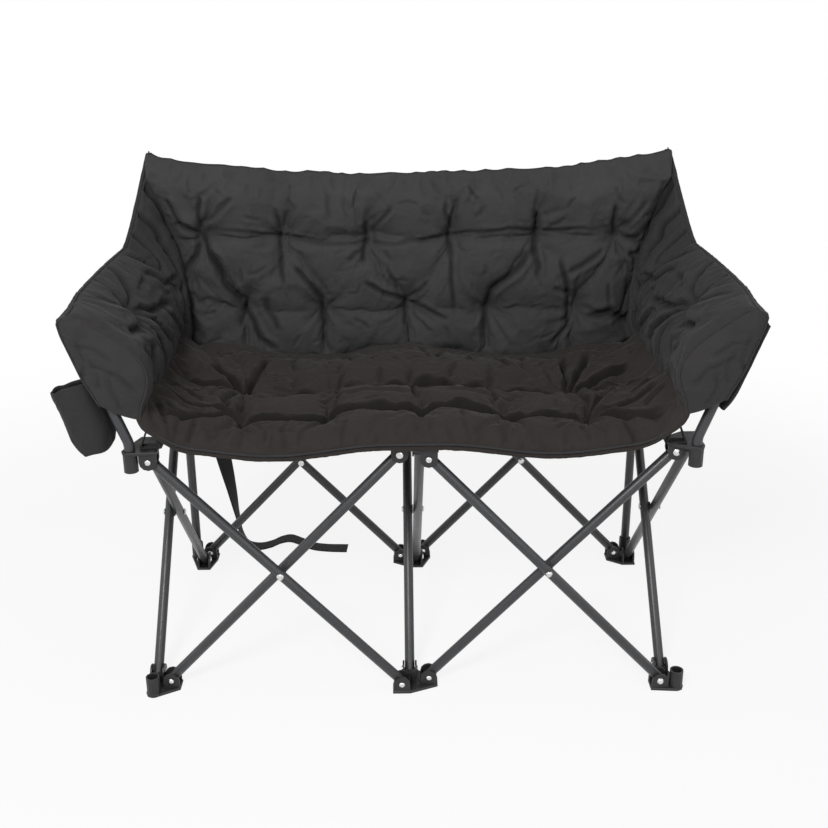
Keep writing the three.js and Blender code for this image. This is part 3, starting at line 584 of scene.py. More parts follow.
def arm_points(outward):
    """The arm tube's centre line in metres: up, a bend and outwards"""
    setback = ARM_BEND_RADIUS * math.tan(ARM_LEAN / 2)
    low = Vector((outward * SOCKET_X, ARM_Y, HUB_TOP - HUB_HEIGHT + ARM_SOCKET_FLOOR))
    corner = Vector((outward * SOCKET_X, ARM_Y, ARM_BEND))
    lean = Vector((outward * math.sin(ARM_LEAN), 0, math.cos(ARM_LEAN)))
    end = corner + lean * ((ARM_TOP - ARM_BEND) / lean.z)
    before = corner - Vector((0, 0, setback))
    after = corner + lean * setback
    points = [low]
    for i in range(BEND_STEPS + 1):
        t = i / BEND_STEPS
        points.append(before.lerp(corner, t).lerp(corner.lerp(after, t), t))
    points.append(end)
    return [p * MM for p in points]


def domed_head(bm, centre, along, sizes):
    """A domed rivet head that stands on centre and rises along a direction"""
    radius = sizes.rivet_radius
    made = bmesh.ops.create_circle(bm, cap_ends=True, segments=20, radius=radius)["verts"]
    ring = [made[0].link_faces[0]]
    for radius_share, height_share in HEAD_PROFILE:
        grown = bmesh.ops.extrude_face_region(bm, geom=ring)["geom"]
        verts = only(grown, bmesh.types.BMVert)
        ring = only(grown, bmesh.types.BMFace)
        for vert in verts:
            flat = Vector((vert.co.x, vert.co.y, 0)).normalized() * radius * radius_share
            vert.co = Vector((flat.x, flat.y, sizes.rivet_rise * height_share))
        made = made + verts
    bmesh.ops.transform(bm, matrix=standing(centre, along), verts=made)


def add_heads(bm, middle, axis, half, sizes):
    """A rivet's two heads, at half its length to both sides of its middle"""
    for way in (-1, 1):
        domed_head(bm, middle + axis * (way * half), axis * way, sizes)


def moulding_pivots(name):
    """Middle in millimetres and axis of each rivet through one moulding"""
    row, column, kind = name.split("_")
    outward = {"left": -1, "centre": 0, "right": 1}[column]
    inward = 1 if row == "front" else -1
    foot = kind == "foot"
    row_y = 0.0 if row == "front" else ROW_DEPTH
    depth_y = row_y + inward * DEPTH_PIVOT_INSET
    z = FOOT_PIVOT_Z if foot else HUB_PIVOT_Z
    off = TUBE_R + 1
    depth_off = -off if (inward > 0) == foot else off
    if outward:
        row_off = off if (outward < 0) == foot else -off
        return [((outward * CORNER_X, row_y + row_off, z), (0, 1, 0)),
                ((outward * (CORNER_X + CORNER_DEPTH_OUTSET) + depth_off, depth_y, z), (1, 0, 0))]
    found = []
    for side in (-1, 1):
        found.append(((side * ROW_PIVOT_X, row_y + (off if (side > 0) == foot else -off), z), (0, 1, 0)))
    found.append(((depth_off, depth_y, z), (1, 0, 0)))
    return found


class CHAIR_OT_tubes(bpy.types.Operator):
    """Make the crossed tubes, back posts and arm tubes round, with open bores"""
    bl_idname = "chair.tubes"
    bl_label = "Tubes"

    def execute(self, context):
        sizes = context.scene.chair_frame
        for name in CROSS_TUBES + ["left_back_post", "right_back_post"]:
            add_tube(name, tube_axis(name), sizes)
        for side, outward in (("left", -1), ("right", 1)):
            add_tube(side + "_arm_tube", arm_points(outward), sizes)
            for cap in ("_arm_cap", "_post_cap"):
                NODES[side + cap].data.materials.clear()
                NODES[side + cap].data.materials.append(finish("moulded nylon"))
        return {"FINISHED"}


class CHAIR_OT_mouldings(bpy.types.Operator):
    """Round the edges of the plastic feet and hubs"""
    bl_idname = "chair.mouldings"
    bl_label = "Feet and hubs"

    def execute(self, context):
        sizes = context.scene.chair_frame
        for name in MOULDINGS:
            bm = merged_copy(name)
            for layer in list(bm.loops.layers.uv):
                bm.loops.layers.uv.remove(layer)
            obj = piece_from(bm, name + "_moulding", body_of(name), "moulded nylon")
            add_modifier(obj, "rounding", "BEVEL", width=sizes.moulding_round, segments=2,
                         limit_method="ANGLE", angle_limit=SHARP_MOULDING, harden_normals=False)
            add_modifier(obj, "shading", "WEIGHTED_NORMAL", keep_sharp=True)
            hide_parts(name)
        return {"FINISHED"}


class CHAIR_OT_rivets(bpy.types.Operator):
    """Put domed heads on the pivot rivets and a spacer ring in every crossing"""
    bl_idname = "chair.rivets"
    bl_label = "Rivets and spacers"

    def execute(self, context):
        sizes = context.scene.chair_frame
        for name in MOULDINGS:
            bm = bmesh.new()
            for place, axis in moulding_pivots(name):
                add_heads(bm, Vector(place) * MM, Vector(axis), PIVOT_HALF * MM - HEAD_SINK, sizes)
            turned_out(bm)
            piece_from(bm, name + "_rivet_heads", body_of(name), "nickel rivet")
        for name in CROSSINGS:
            points = read_points(NODES[name + "_rivet"].data)
            middle = Vector((points.min(0) + points.max(0)) / 2)
            axis = Vector((1, 0, 0)) if "depth" in name else Vector((0, 1, 0))
            bm = bmesh.new()
            add_heads(bm, middle, axis, CROSSING_HALF * MM, sizes)
            turned_out(bm)
            obj = piece_from(bm, name + "_rivet_heads", body_of(name + "_rivet"), "nickel rivet")
            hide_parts(name + "_rivet")
            self.add_spacer(name, middle, axis)
        return {"FINISHED"}

    def add_spacer(self, name, middle, axis):
        """A flat nylon ring between two crossed tubes, turned from its section"""
        bm = bmesh.new()
        section = [(SPACER_BORE_R, -SPACER_HALF), (SPACER_R, -SPACER_HALF), (SPACER_R, SPACER_HALF),
                   (SPACER_BORE_R, SPACER_HALF)]
        verts = [bm.verts.new((r * MM, 0, h * MM)) for r, h in section]
        edges = [bm.edges.new((verts[i - 1], verts[i])) for i in (1, 2, 3, 0)]
        bmesh.ops.spin(bm, geom=verts + edges, cent=(0, 0, 0), axis=(0, 0, 1), angle=2 * math.pi,
                       steps=32, use_merge=True)
        bmesh.ops.remove_doubles(bm, verts=bm.verts, dist=1e-6)
        turned_out(bm)
        bmesh.ops.transform(bm, matrix=standing(middle, axis), verts=bm.verts)
        spacer = name + "_spacer"
        obj = piece_from(bm, spacer + "_ring", body_of(spacer), "spacer nylon", shaded_smooth=False)
        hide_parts(name + "_spacer")


# Carry strap

# Points of the strap's middle line in millimetres, each with the turn of its width in degrees
STRAP_ROUTE = [
    (-462, 470.3, 517.184, 0), (-462, 495, 517.184, 0), (-462, 522, 518.184, 0), (-462, 541, 510, 0),
    (-461, 548, 482, 0), (-458, 551, 410, 0), (-449, 553, 330, 10), (-436, 555, 250, 35),
    (-423, 558, 170, 65), (-413, 561, 95, 85), (-406, 565, 38, 90), (-393, 568, 10, 90),
    (-368, 571, 1.3, 90), (-338, 573, 6, 90),
    (-312, 574, 17, 90), (-290, 573, 21, 90), (-266, 570, 14, 90), (-238, 565, 4, 90), (-205, 560, 1.3, 90),
    (-154, 556, 1.3, 90),
]
STRAP_WIDTH = 38.0
STRAP_THICKNESS = 2.0
STRAP_STEPS = 180
STRAP_COLUMNS = 8
SELVEDGE = 0.4
WAVE_HEIGHT = 0.25
WAVE_LENGTH = 21.0


def through(route, share):
    """A point on the centripetal Catmull-Rom curve through the route"""
    route = np.asarray(route, float)
    place = share * (len(route) - 1)
    i = min(int(place), len(route) - 2)
    w = place - i
    b, c = route[i], route[i + 1]
    a = route[i - 1] if i > 0 else 2 * route[0] - route[1]
    d = route[i + 2] if i + 2 < len(route) else 2 * route[-1] - route[-2]
    t0, t1, t2 = (max(np.sum((q - p) ** 2) ** 0.25, 1e-4) for p, q in ((a, b), (b, c), (c, d)))
    m1 = ((b - a) / t0 - (c - a) / (t0 + t1) + (c - b) / t1) * t1
    m2 = ((c - b) / t1 - (d - b) / (t1 + t2) + (d - c) / t2) * t1
    return b + m1 * w + (-3 * b + 3 * c - 2 * m1 - m2) * w ** 2 + (2 * b - 2 * c + m1 + m2) * w ** 3


class CHAIR_OT_strap(bpy.types.Operator):
    """Hang the carry strap over the rear left hub and lay its end on the floor"""
    bl_idname = "chair.strap"
    bl_label = "Carry strap"

    def execute(self, context):
        route = [(x, y, z) for x, y, z, _ in STRAP_ROUTE]
        centres = np.array([through(route, i / STRAP_STEPS) for i in range(STRAP_STEPS + 1)])
        place = np.linspace(0, len(route) - 1, STRAP_STEPS + 1)
        turns = np.radians(np.interp(place, range(len(route)), [turn for _, _, _, turn in STRAP_ROUTE]))
        ways = np.gradient(centres, axis=0)
        ways /= np.linalg.norm(ways, axis=1, keepdims=True)
        run = np.concatenate([[0], np.cumsum(np.linalg.norm(np.diff(centres, axis=0), axis=1))])
        across = np.stack([np.cos(turns), np.sin(turns), np.zeros_like(turns)], 1)
        across -= ways * np.sum(across * ways, 1, keepdims=True)
        across /= np.linalg.norm(across, axis=1, keepdims=True)
        faces = np.cross(ways, across)
        bm = bmesh.new()
        bmesh.ops.create_grid(bm, x_segments=STRAP_STEPS, y_segments=STRAP_COLUMNS, size=1)
        half = STRAP_WIDTH / 2
        uv = []
        for vert in bm.verts:
            along, side = (vert.co.x + 1) / 2, vert.co.y
            i = min(int(round(along * STRAP_STEPS)), STRAP_STEPS)
            wave = WAVE_HEIGHT * (1 + math.sin(run[i] / WAVE_LENGTH) * side)
            vert.co = Vector((centres[i] + across[i] * side * (half - SELVEDGE)
                              + faces[i] * (wave - STRAP_THICKNESS / 2)) * MM)
            uv.append((along * run[-1] * MM, side * half * MM))
        obj = piece_from(bm, "carry_strap_webbing", body_of("carry_strap"), "strap webbing")
        write_weave(obj.data, uv)
        thickness = (STRAP_THICKNESS - 2 * WAVE_HEIGHT) * MM
        add_modifier(obj, "thickness", "SOLIDIFY", thickness=thickness, offset=1)
        applied(obj)
        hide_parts("carry_strap")
        return {"FINISHED"}


# Forms of the quilted cover, in millimetres

SIDE_ROLL_WIDTH = 62
SIDE_ROLL_RISE = 70
SIDE_ROLL_END = SEAT_REAR_Y - 15
SIDE_ROLL_FADE = 70
BAY_START = 50
BAY_END = CORNER_X - 24
BAY_SAG = 19
FRONT_CORNER_WIDTH = 90
FRONT_CORNER_LIFT = 20
WING_LOW_RISE = 263
WING_HIGH_RISE = 274
WING_SWEEP = 0.7
WING_FLARE = (100, 42)
WING_FILL = (40, 32)
WING_FRONT_HEM = 8
WING_TOP_HEM = 7
BACK_LEAN = 20
BACK_BOW = 12
BACK_SET_IN = 28
BACK_TOP_DIP = 47
BACK_FILL = 36
BACK_REAR_FILL = 11
TUFT_PULL = 46
SIDE_ROLL_UNDER = 0.35


def smooth(t):
    t = np.clip(t, 0, 1)
    return t * t * (3 - 2 * t)


def mix(a, b, t):
    return a + (b - a) * t


def swelling(t, power):
    """From 0 at a sewn edge up to 1, steeply at first"""
    return np.sin(math.pi / 2 * np.clip(t, 0, 1)) ** power


def seat_side(x, y):
    """How far the side of the seat rolls up towards the wing"""
    roll = np.clip((np.abs(x) - SEAT_EDGE + SIDE_ROLL_WIDTH) / SIDE_ROLL_WIDTH, 0, 1) ** 1.7
    return SIDE_ROLL_RISE * roll * smooth((SIDE_ROLL_END - y) / SIDE_ROLL_FADE)


def seat_underside(x, y, share):
    """Height of the seat's underside: it sags in both bays, its front corners rise, and so does a share of
    the roll at its sides"""
    away = np.abs(x)
    bay = np.clip((away - BAY_START) / (BAY_END - BAY_START), 0, 1)
    sag = BAY_SAG * np.sin(math.pi * bay) ** 2
    corner = smooth((away - SEAT_EDGE + FRONT_CORNER_WIDTH) / FRONT_CORNER_WIDTH)
    front = smooth((SEAT_SEAM_Y - y) / (SEAT_SEAM_Y - SEAT_FRONT_Y))
    return HUB_TOP + FIT - sag + FRONT_CORNER_LIFT * corner * front + share * seat_side(x, y)


def wing_bottom(u):
    y = mix(WING_FRONT_Y, WING_REAR_Y, u)
    return seat_underside(SEAT_EDGE, y, 1.0) + 2 * HEM + 2


def wing_top(u):
    """Height of a wing's upper edge, which sweeps up to the back's corner"""
    level = HUB_TOP + mix(WING_LOW_RISE, WING_HIGH_RISE, np.minimum(1, u / WING_SWEEP))
    sweep = np.maximum(0, (u - WING_SWEEP) / (1 - WING_SWEEP))
    return mix(level, BACK_CORNER, sweep ** 1.3)


def wing_section(u, v):
    """The panel's middle, half the thickness of its hem, and how far its filling swells beyond that"""
    flare = mix(*WING_FLARE, u ** 2)
    hem = mix(WING_FRONT_HEM, (SOCKET_X + TUBE_R + HEM - SEAT_EDGE) / 2, smooth(u))
    fill = mix(*WING_FILL, smooth(u))
    rim = mix(hem, WING_TOP_HEM, v)
    bulge = np.sin(math.pi * np.clip(v, 0, 1)) ** 1.3
    return SEAT_EDGE + 2 + hem + flare * v ** 2.2, rim, (fill - rim) * bulge


def back_middle(across, z):
    lean = BACK_LEAN * ((z - HUB_TOP) / (BACK_CORNER - HUB_TOP))
    return ROW_DEPTH - BACK_SET_IN + lean + BACK_BOW * (1 - across ** 2)


def back_edge(z):
    """Half the back's width, up to the wings' inner faces"""
    u = (back_middle(1, z) - WING_FRONT_Y) / (WING_REAR_Y - WING_FRONT_Y)
    v = np.clip((z - wing_bottom(u)) / (wing_top(u) - wing_bottom(u)), 0, 1)
    middle, rim, swell = wing_section(u, v)
    return middle - rim - swell - 2


def crown(u, v, edge_u, edge_v):
    """From 0 at the four edges of a panel up to 1"""
    def rise(t, edge):
        return np.sin((math.pi / 2) * np.minimum(1, np.minimum(t, 1 - t) / edge))
    return np.sqrt(np.maximum(rise(u, edge_u) * rise(v, edge_v), 0))


def to_segment(x, z, a, b):
    """Distance of points from a straight segment, and how far they lie above it"""
    ax, az = a
    dx, dz = b[0] - ax, b[1] - az
    t = np.clip(((x - ax) * dx + (z - az) * dz) / (dx * dx + dz * dz), 0, 1)
    return np.hypot(x - ax - t * dx, z - az - t * dz), z - az - t * dz


def cusp(distance, reach):
    """1 on a seam and 0 away from it, between two puffed sides"""
    return 1 - swelling(distance / reach, power=0.6)


def dots(ix, iy, seed):
    """Random values from -1 to 1 at whole-number places"""
    mask = 0xFFFFFFFF
    number = (ix * 374761393 + iy * 668265263 + seed * 1442695041) & mask
    number = ((number ^ (number >> 13)) * 1274126177) & mask
    number = ((number ^ (number >> 16)) * 2246822519) & mask
    return ((number ^ (number >> 15)) & mask) / (mask / 2) - 1


def cloud(x, y, size, seed=0):
    """Smooth noise from -1 to 1 over a plane, with features of a size"""
    x, y = np.broadcast_arrays(np.asarray(x, float) / size, np.asarray(y, float) / size)
    ix, iy = np.floor(x).astype(np.int64), np.floor(y).astype(np.int64)
    fx, fy = smooth(x - ix), smooth(y - iy)
    low = mix(dots(ix, iy, seed), dots(ix + 1, iy, seed), fx)
    high = mix(dots(ix, iy + 1, seed), dots(ix + 1, iy + 1, seed), fx)
    return mix(low, high, fy)


def crumples(x, y, size, seed, level=0.4):
    """Sharp ridges like those of handled cloth, with a height of 1 above their level"""
    bent_x = x + 0.7 * size * cloud(x, y, 1.6 * size, seed + 11)
    bent_y = y + 0.7 * size * cloud(x, y, 1.6 * size, seed + 23)
    return (1 - np.abs(cloud(bent_x, bent_y, size, seed + 37))) ** 3 - level


def filling(x, z, tufts, creases, sag=0.0):
    """Share of the filling left near sewn tufts and along creases. With sag, the filling above a crease hangs
    over it."""
    left = np.ones_like(x)
    for tuft in tufts:
        left = left * (1 - 0.75 * cusp(np.hypot(x - tuft[0], z - tuft[1]), TUFT_PULL))
    for k, (a, b, width, depth) in enumerate(creases):
        bend = 0.35 * width * cloud(x, z, 3.5 * width, 5 + k)
        distance, above = to_segment(x + bend, z - bend, a, b)
        distance = distance - sag * above
        left = left * (1 - depth * cusp(distance, 2.7 * width))
    return np.maximum(left, 0.08)


def along_fold(x, z, points):
    """Distance of places from a broken line, their share of its length, and the side on which they lie"""
    best, place, side = np.full_like(x, 1e9), np.zeros_like(x), np.zeros_like(x)
    whole = sum(math.dist(a, b) for a, b in zip(points, points[1:]))
    start = 0.0
    for a, b in zip(points, points[1:]):
        run = math.dist(a, b)
        ux, uz = (b[0] - a[0]) / run, (b[1] - a[1]) / run
        t = np.clip((x - a[0]) * ux + (z - a[1]) * uz, 0, run)
        ex, ez = x - a[0] - t * ux, z - a[1] - t * uz
        distance = np.hypot(ex, ez)
        closer = distance < best
        best = np.where(closer, distance, best)
        place = np.where(closer, (start + t) / whole, place)
        side = np.where(closer, np.sign(ux * ez - uz * ex), side)
        start += run
    return best, place, side


def fold_depth(x, z, folds):
    """Depth of sharp folds: a groove that fades at its ends, with a lip beside it"""
    total = np.zeros_like(x)
    for k, (points, width, depth) in enumerate(folds):
        xs, zs = zip(*points)
        reach = 6 * width
        near = (x > min(xs) - reach) & (x < max(xs) + reach) & (z > min(zs) - reach) & (z < max(zs) + reach)
        waved_x = x[near] + 0.8 * width * cloud(x[near], z[near], 30, 200 + k)
        waved_z = z[near] + 0.8 * width * cloud(z[near], x[near], 30, 300 + k)
        distance, place, side = along_fold(waved_x, waved_z, points)
        taper = smooth(np.minimum(place, 1 - place) / 0.2 + 0.2)
        lip = (0.34 + 0.2 * side) * np.exp(-((distance - 2.2 * width) / (1.2 * width)) ** 2)
        total[near] += depth * taper * (np.exp(-(distance / width) ** 2) - lip)
    return total


def short_folds(count, low, high, tufts, seed):
    """Small creases that point roughly at the nearest tuft"""
    chance = np.random.default_rng(seed)
    folds = []
    for _ in range(count):
        x, z = chance.uniform(low[0], high[0]), chance.uniform(low[1], high[1])
        tuft = min(tufts, key=lambda t: math.dist(t, (x, z)))
        angle = math.atan2(z - tuft[1], x - tuft[0]) + chance.normal(0, 0.45)
        half = chance.uniform(8, 26)
        bend = angle + chance.normal(0, 0.35)
        points = ((x - half * math.cos(angle), z - half * math.sin(angle)), (x, z),
                  (x + half * math.cos(bend), z + half * math.sin(bend)))
        folds.append((points, chance.uniform(2.8, 4.2), chance.uniform(0.8, 3.0)))
    return folds


def pulls(x, z, tufts, reach, height):
    """Folds that run out from every tuft"""
    total = np.zeros_like(x)
    for k, tuft in enumerate(tufts):
        dx, dz = x - tuft[0], z - tuft[1]
        distance = np.hypot(dx, dz)
        angle = np.arctan2(dz, dx) + 0.35 * cloud(x, z, 45, 60 + k)
        folds = 1 - np.abs(np.sin(3.5 * angle + 1.7 * k)) + 0.6 * (1 - np.abs(np.sin(5.5 * angle + 2.9 * k)))
        total += (folds - 0.6) * np.exp(-((distance - 18) / reach) ** 2) * smooth(distance / 14)
    return height * total


def gathers(along, away, pitch, reach, height, seed):
    """Puckers across a seam: along runs with it and away is the distance from it"""
    place = along + 0.6 * pitch * cloud(along, away, 2.2 * pitch, seed)
    share = 0.55 + 0.45 * cloud(along, along * 0, 3.1 * pitch, seed + 5)
    ridge = 1 - 2 * np.abs(np.sin(math.pi * place / pitch))
    return height * share * ridge * np.exp(-(away / reach) ** 2)


# Tufts, creases and folds of the cover

UPPER_ROW_Z = 780
LOWER_ROW_Z = 627
UPPER_TUFTS = [(x, UPPER_ROW_Z) for x in (-433, -262, -88, 86, 262, 433)]
LOWER_TUFTS = [(x, LOWER_ROW_Z) for x in (-352, -183, -6, 165, 350)]
BACK_TUFTS = UPPER_TUFTS + LOWER_TUFTS
SEAT_SEAM_TUFTS = [(x, SEAT_SEAM_Y) for x in (-330, -146, -8, 150, 305)]
SEAT_FRONT_TUFTS = [(-320, 72), (-163, 78), (12, 80), (170, 76), (322, 70)]
WING_TUFTS = [(150, 722)]


def joined_creases(tufts, width, depth, ends=None):
    """Creases from tuft to tuft, and on to both ends if they are given"""
    points = sorted(tufts)
    if ends:
        points = [(ends[0], points[0][1])] + points + [(ends[1], points[-1][1])]
    return [(a, b, width, depth) for a, b in zip(points, points[1:])]


# A crease has its start, its end, its width and the share of the filling that it takes away
BACK_CREASES = (
    joined_creases(UPPER_TUFTS, 13, 0.6, ends=(-500, 500))
    + joined_creases(LOWER_TUFTS, 17, 0.3)
    + [((x, z - 36), (x + 2, z + 34), 8, 0.6) for x, z in UPPER_TUFTS]
    + [((x, z - 80), (x - 3, z + 26), 9, 0.6) for x, z in LOWER_TUFTS]
    + [((-433, 780), (-346, 640), 8, 0.75), ((-352, 627), (-318, 548), 9, 0.6),
       ((-433, 780), (-470, 690), 9, 0.5), ((236, 742), (175, 668), 8, 0.55),
       ((175, 668), (163, 560), 8, 0.5), ((433, 780), (350, 640), 8, 0.45),
       ((-228, 730), (-183, 672), 8, 0.5), ((350, 627), (318, 550), 8, 0.5),
       ((96, 745), (102, 640), 8, 0.35), ((433, 780), (468, 700), 8, 0.45),
       ((-88, 780), (-60, 700), 8, 0.3), ((-262, 780), (-250, 840), 9, 0.4),
       ((86, 780), (92, 850), 9, 0.4), ((262, 780), (272, 835), 9, 0.35),
       ((-433, 780), (-460, 868), 9, 0.4), ((433, 780), (462, 860), 9, 0.4)]
)
SEAT_CREASES = (
    joined_creases(SEAT_FRONT_TUFTS, 9, 0.85)
    + [((x, SEAT_SEAM_Y), (x + 8, SEAT_SEAM_Y + 58), 8, 0.5) for x, _ in SEAT_SEAM_TUFTS]
    + [((x, y - 34), (x + 3, y + 44), 8, 0.42) for x, y in SEAT_FRONT_TUFTS]
    + [((-330, SEAT_SEAM_Y), (-412, 318), 8, 0.6), ((-330, SEAT_SEAM_Y), (-440, 238), 8, 0.5),
       ((-330, SEAT_SEAM_Y), (-300, 372), 9, 0.4), ((305, SEAT_SEAM_Y), (366, 352), 8, 0.7),
       ((305, SEAT_SEAM_Y), (312, 360), 8, 0.6), ((305, SEAT_SEAM_Y), (432, 262), 8, 0.45),
       ((322, 70), (378, 176), 8, 0.7), ((322, 70), (440, 90), 9, 0.4), ((-320, 72), (-330, 190), 8, 0.35),
       ((-320, 72), (-446, 4), 9, 0.55), ((-320, 72), (-452, 96), 8, 0.5), ((-392, 120), (-456, 152), 8, 0.4),
       ((-142, 440), (-122, 340), 9, 0.25), ((68, 440), (52, 352), 9, 0.2), ((150, 440), (118, 330), 8, 0.22)]
)
# A sharp fold has the points along it, half its width and its depth
BACK_FOLDS = [
    (((-505, 872), (-471, 812), (-436, 790)), 6, 9),
    (((-434, 788), (-405, 731), (-382, 680), (-353, 639)), 6, 12),
    (((-353, 639), (-334, 590), (-317, 564), (-290, 545)), 6, 11), (((-433, 872), (-438, 800)), 5, 7),
    (((-362, 875), (-398, 847), (-430, 808)), 6, 5), (((-437, 777), (-458, 742), (-478, 700)), 6, 8),
    (((-277, 850), (-273, 794), (-269, 679)), 4.5, 7), (((-93, 822), (-92, 771), (-99, 728)), 4.5, 8),
    (((-38, 848), (-62, 813), (-89, 782)), 5, 5), (((-130, 735), (-96, 765)), 4.5, 5),
    (((76, 871), (79, 784), (96, 615)), 4.5, 6.5),
    (((-246, 729), (-207, 689), (-190, 649), (-189, 592)), 5, 8),
    (((-348, 650), (-366, 591)), 5, 7), (((-187, 630), (-187, 545)), 4.5, 6),
    (((-99, 692), (-57, 666), (-12, 642)), 5, 7), (((-50, 724), (-29, 676), (-13, 638)), 4.5, 5),
    (((-14, 650), (-9, 590)), 4.5, 7), (((-11, 640), (28, 630), (78, 605)), 5, 6),
    (((36, 686), (-8, 645)), 4, 5),
    (((-311, 661), (-293, 627), (-279, 586)), 8, 6), (((262, 848), (262, 775), (269, 699)), 5, 8),
    (((422, 856), (431, 774)), 5, 7), (((492, 859), (465, 826), (434, 791)), 5, 5),
    (((433, 791), (490, 768)), 5, 5),
    (((262, 757), (215, 707), (171, 667), (161, 616), (154, 556)), 5.5, 9),
    (((408, 759), (362, 728), (325, 701)), 6, 6), (((314, 739), (333, 666), (337, 575)), 5, 8),
    (((300, 676), (340, 660)), 5, 5), (((337, 590), (300, 548)), 5, 6),
    (((372, 612), (432, 620), (480, 590)), 8, 8), (((140, 860), (119, 890)), 4, 4),
    (((318, 844), (257, 822)), 5, 3),
    (((463, 752), (489, 701)), 5, 5), (((417, 687), (428, 630)), 4, 4),
    (((-430, 803), (-354, 797), (-275, 787), (-185, 772), (-94, 768), (-7, 772), (80, 783), (146, 793),
      (209, 800), (261, 793), (341, 797), (430, 800)), 4, 4.5),
]
SEAT_FOLDS = [
    (((-322, 74), (-232, 66), (-163, 78), (-60, 84), (12, 80), (100, 84), (170, 76), (250, 70),
      (322, 70)), 6, 15),
    (((-330, 219), (-232, 214), (-146, 220), (-70, 214), (-8, 220), (80, 225), (150, 219), (230, 222),
      (305, 219)), 7, 11),
    (((-392, 20), (-400, -26)), 5, 5), (((-300, 24), (-312, -22)), 5, 3), (((-262, 30), (-250, -6)), 4.5, 2),
    (((-120, 30), (-132, -20)), 5, 3), (((36, 36), (26, -12)), 5, 2.4), (((150, 34), (164, -20)), 5, 2.4),
    (((300, 26), (314, -20)), 5, 3), (((380, 14), (392, -24)), 5, 5),
    (((-180, 150), (-90, 158), (0, 150)), 7, 3), (((60, 156), (140, 148), (220, 154)), 7, 3),
    (((-330, 216), (-372, 268), (-408, 322)), 6, 10), (((-332, 216), (-392, 232), (-446, 236)), 6, 9),
    (((-328, 224), (-310, 300), (-300, 372)), 5, 7), (((-332, 210), (-400, 176), (-452, 150)), 6, 9),
    (((-330, 206), (-352, 130), (-344, 92)), 6, 9), (((-322, 72), (-384, 40), (-446, 6)), 7, 11),
    (((-322, 74), (-392, 92), (-456, 100)), 6, 10), (((-392, 128), (-458, 152)), 5, 7),
    (((-410, 20), (-452, 44)), 5, 8), (((-438, -14), (-462, 26)), 5, 8), (((-380, 60), (-430, 66)), 5, 6),
    (((305, 216), (336, 290), (366, 356)), 6, 11), (((306, 222), (310, 300), (316, 366)), 5, 9),
    (((307, 214), (372, 244), (436, 268)), 6, 10), (((306, 210), (384, 200), (452, 186)), 6, 8),
    (((310, 204), (330, 140), (324, 84)), 6, 10), (((324, 70), (360, 132), (392, 182)), 6, 10),
    (((324, 68), (388, 74), (448, 92)), 6, 9), (((324, 62), (392, 26), (452, -4)), 6, 9),
    (((410, 120), (460, 140)), 5, 7), (((420, 40), (458, 60)), 5, 6),
    (((-140, 428), (-130, 396), (-118, 344)), 5, 6), (((-140, 428), (-152, 400), (-162, 362)), 4.5, 4),
    (((66, 428), (58, 398), (50, 352)), 5, 5), (((148, 428), (136, 392), (112, 332)), 5, 6),
    (((152, 428), (178, 390), (204, 322)), 5, 6), (((20, 424), (26, 390), (32, 330)), 4.5, 4),
    (((236, 422), (230, 380), (226, 320)), 5, 5), (((-240, 422), (-246, 380), (-238, 310)), 5, 5),
    (((-146, 214), (-140, 160), (-150, 104)), 4.5, 5), (((150, 214), (158, 150), (150, 104)), 4.5, 5),
    (((-8, 214), (6, 160), (2, 112)), 4.5, 4), (((-60, 226), (-66, 280)), 4.5, 4),
    (((70, 226), (84, 290)), 4.5, 4),
    (((-230, 60), (-236, 6), (-226, -24)), 4.5, 2.5), (((90, 62), (86, 10), (96, -24)), 4.5, 2.5),
]
WING_FOLDS = [
    (((152, 722), (240, 700), (330, 690)), 6, 10), (((148, 724), (96, 706), (30, 716)), 6, 10),
    (((150, 726), (142, 772), (150, 800)), 5, 6), (((154, 726), (206, 764), (240, 790)), 5, 7),
    (((148, 718), (100, 672), (60, 630)), 6, 8), (((152, 716), (170, 660), (160, 606)), 5, 7),
    (((154, 718), (220, 668), (262, 620)), 5, 7), (((146, 728), (92, 762), (52, 776)), 5, 6),
    (((330, 790), (372, 740), (414, 690)), 6, 8), (((436, 884), (446, 800), (440, 712)), 6, 8),
    (((486, 906), (490, 830), (478, 740)), 6, 8), (((392, 840), (402, 770), (380, 700)), 5, 6),
    (((300, 760), (352, 720), (430, 712)), 6, 7), (((270, 690), (330, 640), (380, 600)), 6, 7),
    (((440, 700), (400, 640), (398, 590)), 6, 8), (((30, 690), (70, 660)), 5, 5),
    (((220, 740), (290, 752)), 5, 5),
]
FACING_FOLDS = [
    (((500, 600), (520, 640), (516, 676)), 4.5, 2.6), (((478, 640), (506, 672), (548, 690)), 4.5, 3.2),
    (((540, 640), (536, 670), (552, 704)), 4, 2.4), (((570, 660), (560, 690), (574, 730)), 4, 2.6),
    (((506, 694), (540, 716), (572, 720)), 4, 2.4),
]
WING_CREASES = [
    ((150, 722), (420, 688), 10, 0.6), ((-20, 752), (62, 706), 9, 0.6), ((62, 706), (150, 722), 10, 0.4),
    ((150, 722), (120, 782), 8, 0.4), ((150, 722), (226, 782), 8, 0.4), ((150, 722), (60, 640), 10, 0.45),
    ((150, 722), (236, 648), 9, 0.45), ((330, 796), (420, 700), 10, 0.4), ((430, 868), (450, 720), 10, 0.45),
]
# Height of the seat's rear edge at places across it
SEAT_REAR_LINE = (
    (-479, 572), (-397, 580), (-319, 557), (-239, 541), (-142, 535), (-77, 559), (9, 567),
    (63, 549), (150, 533), (290, 537), (386, 561), (479, 572),
)
# Inner and outer edge of a wing's front facing: height, and distance from the middle of the chair
FACING_INNER = (
    (575, 478), (590, 476), (610, 472), (630, 463), (655, 457), (678, 459), (698, 471), (715, 486),
    (738, 514), (756, 541), (780, 574),
)
FACING_OUTER = ((605, 541), (633, 556), (661, 570), (701, 584), (738, 597), (764, 602), (780, 602))


